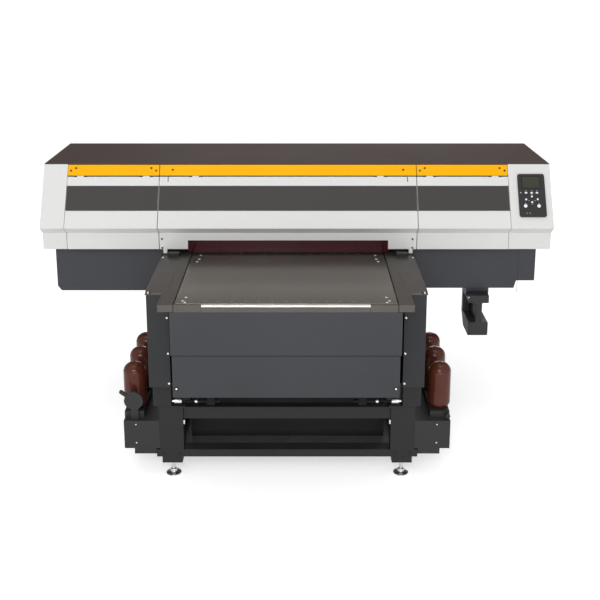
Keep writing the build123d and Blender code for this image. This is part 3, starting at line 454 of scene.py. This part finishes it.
# Zinc plated screws along each column's outer wall hold its folds to the base frame.
panel_screw = (0.0045, 0.0018)  # radius and height of the head
wall_low, wall_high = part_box("side_column_left")
for side, name in ((-1, "wall_screws_left"), (1, "wall_screws_right")):
    wall_x = bed_middle + side * (bed_middle - wall_low.x)
    wall_places = [(wall_x, -0.63 + step * 0.34, wall_low.z + 0.02) for step in range(5)]
    for along_wall in (-0.63, -0.29, 0.53, 0.77):
        wall_places.append((wall_x, along_wall, wall_high.z - 0.05))
    outwards = Matrix.Rotation(math.radians(90 * side), 4, "Y")
    wall_screws = set_out(name, screw_head(*panel_screw), outwards, wall_places)
    dress(wall_screws, zinc, "base")

# ---------------------------------------------------------------- skirts
# Two sheet steel skirts close the front of the bed. The upper one rises and falls with the
# bed and slides behind the lower one; both are slate grey and screwed at their corners.

skirt_coat = coated_finish(
    "skirt_powder_coat", screen_colour(46, 48, 52), 0.42, gloss=0.35, patch=0.4, shade_spread=0.09
)
machined("lower_skirt", 0.0012, skirt_coat, "base")
machined("upper_skirt", 0.0012, skirt_coat, "lift")

rubber = coated_finish("black_rubber", screen_colour(20, 20, 20), 0.7, grain=0.002, wear=0.1, gloss=0.2)
upper_low, upper_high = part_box("upper_skirt")
lower_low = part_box("lower_skirt")[0]
# A black rubber-finished strip along the upper skirt's bottom edge is painted shadow: it stands in for the
# shade in the step between the two skirts.
skirt_shadow_strip = box_piece(
    "skirt_shadow_strip",
    (upper_low.x + 0.002, upper_low.y + 0.0004, upper_low.z - 0.0026),
    (upper_high.x - 0.002, upper_low.y + 0.003, upper_low.z),
)
round_edges(skirt_shadow_strip, 0.0006)
dress(skirt_shadow_strip, rubber, "lift")

# Each lower corner of the skirt has a screw in a black rubber washer.
skirt_corners = [(bed_middle + side * 0.43, lower_low.y, 0.491) for side in (-1, 1)]
skirt_washers = set_out("skirt_washers", screw_head(0.009, 0.0012, 24), to_front, skirt_corners)
dress(skirt_washers, rubber, "base")
skirt_screws = set_out("skirt_screws", screw_head(*panel_screw), to_front, skirt_corners)
dress(skirt_screws, zinc, "base")

# ---------------------------------------------------------------- bed lock rods
# Two plated rods lie under the skirt, each with a nut and a rubber sleeve, and lock the bed
# for transport.

lock_rods = machined("lock_rods", 0.0006, zinc, "base")


def second_finish(piece, finish, test):
    """Gives the faces that pass the test another finish."""
    piece.data.materials.append(finish)
    last = len(piece.data.materials) - 1
    for face in piece.data.polygons:
        if test(face.center):
            face.material_index = last


def sleeve_part(place):
    reach = abs(place.x - bed_middle)
    return reach < 0.3615 or 0.3725 < reach < 0.4255 or place.z > 0.396


second_finish(lock_rods, rubber, sleeve_part)

# ---------------------------------------------------------------- ink stations
# Moulded black plastic boxes at both sides of the stand hold the bottles' sockets and the
# supply pumps. The left one carries the supply lever on a pin.

station_plastic = coated_finish(
    "station_black_plastic", screen_colour(38, 38, 39), 0.48, grain=0.0012, gloss=0.35, wear=0.25
)
machined("ink_station_left", 0.002, station_plastic, "base")
machined("ink_station_right", 0.002, station_plastic, "base")
machined("supply_lever", 0.0015, station_plastic, "supply_lever")

station_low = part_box("ink_station_left")[0]
station_screw_places = []
for side, offset in ((-1, 0.631), (1, 0.626)):
    for height in (0.157, 0.24):
        station_screw_places.append((bed_middle + side * offset, station_low.y, height))
station_screws = set_out("station_screws", screw_head(0.0032, 0.0015), to_front, station_screw_places)
dress(station_screws, zinc, "base")

# ---------------------------------------------------------------- ink bottles
# Blow-moulded bottles of amber-brown plastic stand upside down in the stations, with their
# necks in the sockets. The skin is glossy and slightly wavy from the mould.

amber = coated_finish(
    "amber_bottle_plastic", screen_colour(80, 38, 26), 0.2, grain=0.03, depth=0.00012,
    wear=0.0, dust=0.01, patch=0.06, shade_spread=0.12, gloss=0.3, coat=0.0
)
for side in ("left", "right"):
    for number in (1, 2, 3):
        bottle = f"ink_bottle_{side}_{number}"
        machined(bottle, 0.0015, amber, bottle)

# ---------------------------------------------------------------- lifting bed
# A milled aluminium deck rises on two jack rods and carries the feed rails and the feed
# screw. Its nose is a polished aluminium bar with bronze end pieces.

milled = metal_finish("milled_aluminium", (0.55, 0.56, 0.57, 1), 0.38, (40, 900, 900))
ground = metal_finish("ground_steel", (0.5, 0.5, 0.51, 1), 0.24, (1200, 20, 1200))
polished = metal_finish("polished_bar", (0.6, 0.575, 0.55, 1), 0.28, (12, 1500, 1500))
bronze_sheet = metal_finish(
    "bronze_anodised_sheet", (0.088, 0.079, 0.072, 1), 0.42, (300, 300, 300), rough_spread=0.02,
    depth=0.000002, shade_spread=0.04, metal=0.7
)
machined("lift_frame", 0.001, milled, "lift")
machined("feed_rails", 0.0006, ground, "lift")
machined("feed_screw", 0.0005, ground, "screw")
nose_bar = machined("nose_bar", 0.0008, bronze_sheet, "lift")
nose_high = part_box("nose_bar")[1]


def polished_part(place):
    return place.z > nose_high.z - 0.0085 and abs(place.x - bed_middle) < 0.3252


second_finish(nose_bar, polished, polished_part)

# ---------------------------------------------------------------- vacuum table
# The table is a thick aluminium plate, anodised dark bronze with a satin brushed face.
# Socket screws hold it at its corners, and a row of small ones runs along each edge.

bronze_plate = metal_finish(
    "bronze_anodised_plate", (0.19, 0.172, 0.155, 1), 0.25, (3, 160, 160), rough_spread=0.006,
    depth=0.0000003, shade_spread=0.03, metal=0.85
)
machined("vacuum_table", 0.001, bronze_plate, "table")
machined("table_carrier", 0.001, milled, "table")

# Three cap screws sit near each corner of the plate, in counterbores.
upwards = Matrix.Identity(4)
screw_sink = 0.0004  # how far the heads sit down in their counterbores
corner_places = []
for side in (-1, 1):
    for offset, back in ((0.392, 0.071), (0.401, 0.03), (0.39, 0.013)):
        corner_places.append((bed_middle + side * offset, table_low.y + back, table_high.z - screw_sink))
    for offset, ahead in ((0.391, 0.072), (0.391, 0.129), (0.397, 0.166)):
        corner_places.append((bed_middle + side * offset, table_high.y - ahead, table_high.z - screw_sink))
stainless = metal_finish("stainless_screws", (0.9, 0.9, 0.88, 1), 0.42, (900, 900, 900), metal=0.6)
corner_screws = set_out("table_corner_screws", screw_head(0.0055, 0.001), upwards, corner_places)
dress(corner_screws, stainless, "table")

# Small plugs close the air channels along the front and rear edges.
plug_pitch = 0.0525
plug_places = []
for number in range(-6, 7):
    along = bed_middle + number * plug_pitch
    plug_places.append((along, table_low.y + 0.026, table_high.z - screw_sink))
    plug_places.append((along, table_high.y - 0.045, table_high.z - screw_sink))
edge_plugs = set_out("table_edge_plugs", screw_head(0.0026, 0.0008, 12), upwards, plug_places)
dress(edge_plugs, zinc, "table")

# Air holes in a square pattern hold the medium down; each is a drilled hole a millimetre wide.
hole_pitch = 0.03
hole_places = []
for column in range(-12, 13):
    for row in range(18):
        across_at = bed_middle + column * hole_pitch
        hole_places.append((across_at, table_low.y + 0.1 + row * hole_pitch, table_high.z - 0.00055))
air_holes = set_out("table_air_holes", screw_head(0.0011, 0.0005, 8), upwards, hole_places)
dress(air_holes, black_oxide, "table")

# ---------------------------------------------------------------- side decks
# Bent aluminium sheets, anodised dark bronze, close the gap between the table and the
# columns. Each has a notch at the front and a row of small holes.

for node in ("side_deck_left", "side_deck_right"):
    deck = machined(node, 0.0008, bronze_sheet, "base")
    second_finish(deck, station_plastic, lambda place: place.z > table_high.z + 0.0005)

deck_holes = []
deck_rings = []
notch_screws = []
column_front = -0.6685
for side in (-1, 1):
    for number in range(7):
        across_at = bed_middle + side * (0.474 + 0.001 * (number % 2))
        deck_holes.append((across_at, -0.607 + number * 0.03, table_high.z - 0.0002))
    deck_rings.append((bed_middle + side * 0.555, -0.204, table_high.z))
    for back in (0.008, 0.016):
        notch_screws.append((bed_middle + side * 0.551, column_front + back, 0.834))
deck_hole_rims = set_out("deck_holes", screw_head(0.003, 0.0006, 12), upwards, deck_holes)
dress(deck_hole_rims, black_oxide, "base")
deck_locators = set_out("deck_locators", screw_head(0.006, 0.004, 20), upwards, deck_rings)
dress(deck_locators, zinc, "base")
notch_bolts = set_out("deck_notch_bolts", screw_head(0.0035, 0.004), upwards, notch_screws)
dress(notch_bolts, stainless, "base")

# The deck is made of two sheets that meet in a fine joint across it.
for side, name in ((-1, "deck_joint_left"), (1, "deck_joint_right")):
    outer = bed_middle + side * 0.562
    inner = bed_middle + side * 0.476
    joint = box_piece(
        name,
        (min(inner, outer), -0.4118, table_high.z - 0.001),
        (max(inner, outer), -0.4102, table_high.z + 0.0002),
    )
    round_edges(joint, 0.0001)
    dress(joint, black_oxide, "base")

# ---------------------------------------------------------------- gantry and carriage
# A box beam on two supports carries the rails, the toothed belt and the print carriage with
# its lamp housings. The capping station waits below the carriage's rest place.

carriage_plastic = coated_finish("carriage_plastic", screen_colour(46, 46, 49), 0.42)
turned_metal = metal_finish("turned_aluminium", (0.62, 0.62, 0.63, 1), 0.25, (300, 2500, 300))
machined("gantry_beam", 0.0015, milled, "base")
machined("beam_supports", 0.0015, milled, "base")
machined("carriage_rails", 0.0006, ground, "base")
machined("carriage", 0.002, carriage_plastic, "carriage")
machined("drive_belt", 0.0, rubber, "base")
machined("drive_pulley", 0.0004, turned_metal, "drive_pulley")
machined("idler_pulley", 0.0004, turned_metal, "idler_pulley")
machined("capping_station", 0.0015, carriage_plastic, "base")

# ---------------------------------------------------------------- head pans and waste tank
# Folded steel pans close the head from below at both sides, in a satin slate coat.
# The moulded waste ink tank hangs in runners under the right pan.

pan_coat = coated_finish(
    "pan_coat", screen_colour(57, 58, 64), 0.44, gloss=0.3, patch=0.45, shade_spread=0.08
)
tank_plastic = coated_finish("tank_plastic", screen_colour(35, 35, 37), 0.45, gloss=0.4, wear=0.25)
machined("head_pan_left", 0.0015, pan_coat, "base")
machined("head_pan_right", 0.0015, pan_coat, "base")
machined("rear_panel", 0.001, pan_coat, "base")
machined("waste_tank", 0.003, tank_plastic, "waste_tank")

tank_low, tank_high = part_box("waste_tank")
tank_catch = box_piece(
    "tank_catch",
    (tank_low.x - 0.004, tank_low.y + 0.002, tank_high.z - 0.014),
    (tank_low.x + 0.022, tank_low.y + 0.02, tank_high.z - 0.007),
)
round_edges(tank_catch, 0.0012)
dress(tank_catch, zinc, "waste_tank")

# The right pan is made of two sheets that meet in a fine upright joint.
pan_low, pan_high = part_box("head_pan_right")
pan_joint = box_piece(
    "pan_joint",
    (pan_high.x - 0.0918, pan_low.y - 0.0002, 0.66),
    (pan_high.x - 0.0902, pan_low.y + 0.001, pan_high.z - 0.002),
)
round_edges(pan_joint, 0.0001)
dress(pan_joint, black_oxide, "base")

# Pressed louvres in two groups cool the head from behind; screws hold the panel's edges.
to_rear = Matrix.Rotation(math.radians(-90), 4, "X")
rear_panel_low, rear_panel_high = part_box("rear_panel")
bpy.ops.object.select_all(action="DESELECT")
louvre = box_piece("louvre", (-0.085, -0.005, 0), (0.085, 0.005, 0.006))
pick_faces(louvre, lambda face: face.normal.z > 0.9)
bpy.ops.transform.translate(value=(0, 0.003, 0))
bpy.ops.transform.resize(value=(0.94, 0.35, 1))
bpy.ops.object.mode_set(mode="OBJECT")
louvre_places = []
for group in (-0.72, 0.72):
    for row in range(9):
        louvre_places.append((group, rear_panel_high.y, 0.98 + row * 0.017))
louvres = set_out("rear_louvres", louvre, to_rear, louvre_places)
dress(louvres, pan_coat, "base")
rear_screw_places = []
for number in range(9):
    across_at = -1.1 + number * 0.275
    for height in (rear_panel_low.z + 0.02, rear_panel_high.z - 0.02):
        rear_screw_places.append((across_at, rear_panel_high.y, height))
rear_screws = set_out("rear_screws", screw_head(*panel_screw), to_rear, rear_screw_places)
dress(rear_screws, zinc, "base")

# ---------------------------------------------------------------- top cover
# One long sheet of steel, folded down at the front and back, closes the head from above.
# Its textured coat is a warm dark grey with almost no shine.

top_coat = coated_finish(
    "top_coat", screen_colour(77, 66, 63), 0.68, grain=0.0014, depth=0.00006, gloss=0.05,
    patch=0.5, dust=0.02
)
machined("top_cover", 0.0025, top_coat, "base", segments=3)

# ---------------------------------------------------------------- accent strips
# Three semi-gloss yellow plastic strips run along the slope above the covers.

yellow = coated_finish(
    "accent_yellow", screen_colour(242, 171, 0), 0.36, shade_spread=0.03, depth=0.00002, wear=0.1,
    dust=0.01, gloss=0.15
)
machined("accent_strips", 0.0012, yellow, "base")

# Black screws hold each strip, set as slanting pairs at its ends.
slope_top = Vector((0, -0.0415, 1.235))
slope_turn = math.radians(60)
on_slope = Matrix.Translation(slope_top) @ Matrix.Rotation(slope_turn, 4, "X")
strip_screw_places = []
cover_screw = (0.0045, 0.0014)  # radius and height of the flatter head on the covers
for cover in ("left_cover", "centre_cover", "right_cover"):
    low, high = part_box(cover)
    inward_pairs = (
        (low.x + 0.014, 0.034), (low.x + 0.036, 0.022), (high.x - 0.036, 0.022), (high.x - 0.014, 0.034),
    )
    if cover == "centre_cover":
        inward_pairs = ((low.x + 0.058, 0.03), (high.x - 0.058, 0.03))
    for across_at, down in inward_pairs:
        strip_screw_places.append(on_slope @ Vector((across_at, -down, 0.0002)))
slope_facing = Matrix.Rotation(slope_turn, 4, "X")
strip_screws = set_out("strip_screws", screw_head(*cover_screw), slope_facing, strip_screw_places)
dress(strip_screws, black_oxide, "base")

# ---------------------------------------------------------------- end covers and front covers
# The white covers are injection moulded with a fine skin. The end covers are fixed; the
# left, centre and right covers hinge upwards along the slope.

white_plastic = coated_finish(
    "white_cover_plastic", screen_colour(209, 209, 207), 0.48, rough_spread=0.04, shade_spread=0.012,
    grain=0.0011, depth=0.00003, wear=0.1, dust=0.02, patch=0.5, gloss=0.3
)
machined("end_cover_left", 0.0014, white_plastic, "base", segments=3)
machined("end_cover_right", 0.0014, white_plastic, "base", segments=3)
for cover in ("left_cover", "centre_cover", "right_cover"):
    machined(cover, 0.0014, white_plastic, cover)

# ---------------------------------------------------------------- dark bands
# A dark grey plastic band is snapped into the recess of each cover and rides with it.
# The slope leans back by 30 degrees, so a band is made flat and then laid on the slope.


def lay_on_slope(piece):
    """Turns a piece made flat, with its face up and its top edge at y = 0, onto the slope."""
    only(piece)
    piece.rotation_euler = (slope_turn, 0, 0)
    piece.location = slope_top
    bpy.ops.object.transform_apply(location=True, rotation=True, scale=True)
    return piece


band_plastic = coated_finish(
    "band_plastic", screen_colour(63, 61, 60), 0.42, shade_spread=0.03, depth=0.00002, wear=0.1,
    dust=0.01, patch=0.5, gloss=0.2
)
band_top = 0.1056
band_foot = 0.2211
for cover in ("left_cover", "centre_cover", "right_cover"):
    low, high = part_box(cover)
    band = box_piece(
        cover.replace("cover", "band"),
        (low.x + 0.0008, -band_foot, -0.0018),
        (high.x - 0.0008, -band_top, -0.0004),
    )
    round_edges(band, 0.0005)
    lay_on_slope(band)
    dress(band, band_plastic, cover)

# Four black screws hold the window's frame. A dark slot beside each end lets the stay through.
centre_low, centre_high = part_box("centre_cover")
facet_y = -0.1465
frame_screw_places = []
for across_at in (centre_low.x + 0.0118, centre_high.x - 0.018):
    for height in (0.87, 0.911):
        frame_screw_places.append((across_at, facet_y, height))
frame_screws = set_out("window_frame_screws", screw_head(*cover_screw), to_front, frame_screw_places)
dress(frame_screws, black_oxide, "centre_cover")
stay_slots = (("stay_slot_left", centre_low.x + 0.0385), ("stay_slot_right", centre_high.x - 0.0395))
for name, across_at in stay_slots:
    slot_piece = box_piece(
        name, (across_at - 0.0018, -0.086, -0.0005), (across_at + 0.0018, -0.064, 0.0003)
    )
    round_edges(slot_piece, 0.0002)
    lay_on_slope(slot_piece)
    dress(slot_piece, black_oxide, "centre_cover")

# ---------------------------------------------------------------- window
# The window is a deep red tinted acrylic sheet screwed inside the centre cover. It keeps the
# lamps' light in.

tint = bpy.data.materials.new("red_tinted_acrylic")
tint.use_nodes = True
tint_shader = tint.node_tree.nodes["Principled BSDF"]
tint_shader.inputs["Transmission Weight"].default_value = 0.35
tint_shader.inputs["IOR"].default_value = 1.49
tint_shader.inputs["Specular IOR Level"].default_value = 0.2
tint_patches = place_group(tint, patch_group, {"Size": 0.15})
tint_colour = mixed_colour(
    tint, tint_patches.outputs[0], screen_colour(62, 4, 18), screen_colour(72, 7, 22)
)
tint.node_tree.links.new(tint_colour, tint_shader.inputs["Base Color"])
tint_shine = tint.node_tree.nodes.new("ShaderNodeMapRange")
tint_shine.inputs["To Min"].default_value = 0.06
tint_shine.inputs["To Max"].default_value = 0.12
tint.node_tree.links.new(tint_patches.outputs[0], tint_shine.inputs["Value"])
tint.node_tree.links.new(tint_shine.outputs["Result"], tint_shader.inputs["Roughness"])
machined("cover_window", 0.0008, tint, "centre_cover")

# ---------------------------------------------------------------- operation panel
# The panel is a dark plastic plate on the right end cover, with a display and nine keys of
# white plastic that each press in a little.

panel_plastic = coated_finish("panel_plastic", screen_colour(46, 46, 45), 0.42, wear=0.15, gloss=0.25)
key_plastic = coated_finish("key_plastic", screen_colour(226, 226, 231), 0.3, wear=0.1, dust=0.0)
display_glass = coated_finish(
    "display_glass", screen_colour(54, 56, 44), 0.2, grain=0.004, depth=0.000004, wear=0.0,
    dust=0.0, patch=0.03, gloss=0.3, coat=0.05
)
machined("control_panel", 0.002, panel_plastic, "base", segments=3)
machined("display", 0.0005, display_glass, "base")
for key in (
    "key_function_1", "key_function_2", "key_function_3", "key_up", "key_left",
    "key_right", "key_down", "key_large_left", "key_large_right",
):
    machined(key, 0.0006, key_plastic, key)

# A thin raised bezel frames the display.
panel_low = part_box("control_panel")[0]
display_low, display_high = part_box("display")
panel_face = 0.009
panel_top = 0.0515
frame_left = display_low.x - 0.003
frame_right = display_high.x + 0.003
bezel = box_piece(
    "display_bezel",
    (frame_left, -panel_top - 0.069, panel_face - 0.0005),
    (frame_right, -panel_top - 0.01, panel_face + 0.0012),
)
pick_faces(bezel, lambda face: face.normal.z > 0.9)
bpy.ops.mesh.inset(thickness=0.0022)
bpy.ops.mesh.extrude_region_move(TRANSFORM_OT_translate={"value": (0, 0, -0.0016)})
bpy.ops.mesh.delete(type="FACE")
bpy.ops.object.mode_set(mode="OBJECT")
pick_faces(bezel, lambda face: face.normal.z < -0.9)
bpy.ops.mesh.delete(type="FACE")
bpy.ops.object.mode_set(mode="OBJECT")
round_edges(bezel, 0.0003)
lay_on_slope(bezel)
dress(bezel, black_oxide, "base")

# Small printed ticks stand over the keys, and a lamp shows that the machine is on.
tick_places = []
for across_at, down in (
    (0.0335, 0.0795), (0.0587, 0.0795), (0.082, 0.0795), (0.0584, 0.0965), (0.045, 0.1255),
    (0.0715, 0.1255), (0.0584, 0.1415), (0.0278, 0.1375), (0.0874, 0.1375), (0.032, 0.183), (0.046, 0.183),
):
    tick_places.append(on_slope @ Vector((panel_low.x + across_at, -panel_top - down, panel_face)))
tick = box_piece("tick", (-0.003, -0.0006, 0), (0.003, 0.0006, 0.0002))
pick_faces(tick, lambda face: face.normal.z > 0.9)
bpy.ops.mesh.inset(thickness=0.0002)
bpy.ops.object.mode_set(mode="OBJECT")
ticks = set_out("panel_ticks", tick, slope_facing, tick_places)
dress(ticks, key_plastic, "base")
lamp_place = [on_slope @ Vector((panel_low.x + 0.01, -panel_top - 0.089, panel_face))]
status_lamp = set_out("status_lamp", screw_head(0.0022, 0.001, 12), slope_facing, lamp_place)
dress(status_lamp, key_plastic, "base")

# ---------------------------------------------------------------- fasteners
# Zinc plated pan-head screws hold each side column's front sheet along its inner edge.
# They are all the same screw, so one model is copied to each place.

column_screw_places = []
for side in (-1, 1):
    for height in (0.452, 0.582, 0.735):
        column_screw_places.append((bed_middle + side * 0.478, column_front, height))
column_screws = set_out("column_screws", screw_head(*panel_screw), to_front, column_screw_places)
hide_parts("fasteners")
dress(column_screws, zinc, "base")

# ---------------------------------------------------------------- studio
# A pale seamless floor and a soft even sky, as in a product studio, with broad lamps in
# front, above, low down and behind, and one small key lamp for the highlights.

floor_size = 400
bpy.ops.object.select_all(action="DESELECT")
bpy.ops.mesh.primitive_plane_add(size=floor_size, location=(0, 0, 0))
floor = bpy.context.object
floor.name = "studio_floor"
floor_paint = bpy.data.materials.new("pale_floor")
floor_paint.use_nodes = True
floor_shader = floor_paint.node_tree.nodes["Principled BSDF"]
floor_patches = place_group(floor_paint, patch_group, {"Size": 1.5})
floor_colour = mixed_colour(
    floor_paint, floor_patches.outputs[0], (0.82, 0.82, 0.82, 1), (0.83, 0.83, 0.83, 1)
)
floor_paint.node_tree.links.new(floor_colour, floor_shader.inputs["Base Color"])
floor_shader.inputs["Roughness"].default_value = 0.95
floor_shader.inputs["Specular IOR Level"].default_value = 0
floor_shader.inputs["Emission Color"].default_value = (1, 1, 1, 1)
to_camera = floor_paint.node_tree.nodes.new("ShaderNodeLightPath")
backdrop = floor_paint.node_tree.nodes.new("ShaderNodeMapRange")
backdrop.inputs["To Min"].default_value = 0.34
backdrop.inputs["To Max"].default_value = 0.56
floor_paint.node_tree.links.new(to_camera.outputs["Is Camera Ray"], backdrop.inputs["Value"])
floor_paint.node_tree.links.new(backdrop.outputs["Result"], floor_shader.inputs["Emission Strength"])
floor.data.materials.append(floor_paint)

# The room is brightest overhead and in front, darker behind, and reads as plain white itself.
room = bpy.data.worlds.new("studio_room")
room.use_nodes = True
room_nodes = room.node_tree.nodes
room_links = room.node_tree.links
room_glow = room_nodes["Background"]
direction = room_nodes.new("ShaderNodeTexCoord")
parts = room_nodes.new("ShaderNodeSeparateXYZ")
to_back = room_nodes.new("ShaderNodeMapRange")
to_back.inputs["From Min"].default_value = -0.3
to_back.inputs["From Max"].default_value = 0.9
to_back.inputs["To Min"].default_value = 0.72
to_back.inputs["To Max"].default_value = 0.3
room_white = room_nodes.new("ShaderNodeBackground")
seen = room_nodes.new("ShaderNodeLightPath")
choose = room_nodes.new("ShaderNodeMixShader")
room_links.new(direction.outputs["Generated"], parts.inputs[0])
room_links.new(parts.outputs["Y"], to_back.inputs["Value"])
room_links.new(to_back.outputs["Result"], room_glow.inputs["Strength"])
room_glow.inputs["Color"].default_value = (1, 1, 1, 1)
room_white.inputs["Color"].default_value = (1, 1, 1, 1)
room_white.inputs["Strength"].default_value = 1
room_links.new(seen.outputs["Is Camera Ray"], choose.inputs[0])
room_links.new(room_glow.outputs[0], choose.inputs[1])
room_links.new(room_white.outputs[0], choose.inputs[2])
room_links.new(choose.outputs[0], room_nodes["World Output"].inputs["Surface"])
bpy.context.scene.world = room


def studio_lamp(name, place, target, width, height, power):
    """A broad rectangular lamp that faces a point."""
    lamp_data = bpy.data.lights.new(name, "AREA")
    lamp_data.shape = "RECTANGLE"
    lamp_data.size = width
    lamp_data.size_y = height
    lamp_data.energy = power
    lamp = bpy.data.objects.new(name, lamp_data)
    bpy.context.scene.collection.objects.link(lamp)
    lamp.location = place
    lamp.rotation_euler = (Vector(target) - Vector(place)).to_track_quat("-Z", "Y").to_euler()


studio_lamp("lamp_front", (-0.6, -5.0, 3.4), (0, 0, 0.9), 3.4, 1.8, 60)
studio_lamp("lamp_top", (0, -0.8, 4.8), (0, -0.4, 0.5), 4.0, 1.6, 30)
studio_lamp("lamp_low", (0, -4.6, 0.45), (0, -0.2, 0.9), 3.6, 0.7, 28)
studio_lamp("lamp_key", (-0.35, -4.9, 3.3), (0, -0.4, 0.6), 0.5, 0.22, 22)
studio_lamp("lamp_back", (0.5, 5.5, 1.5), (0, 0, 0.8), 4.0, 1.4, 60)

camera_data = bpy.data.cameras.new("studio_camera")
camera_data.lens = 57.3
camera_data.shift_y = -0.18
camera = bpy.data.objects.new("studio_camera", camera_data)
bpy.context.scene.collection.objects.link(camera)
camera.location = (0.014, -4.264, 2.105)
camera.rotation_euler = (math.radians(90 - 13.35), 0, 0)
bpy.context.scene.camera = camera
bpy.context.scene.view_settings.view_transform = "Standard"
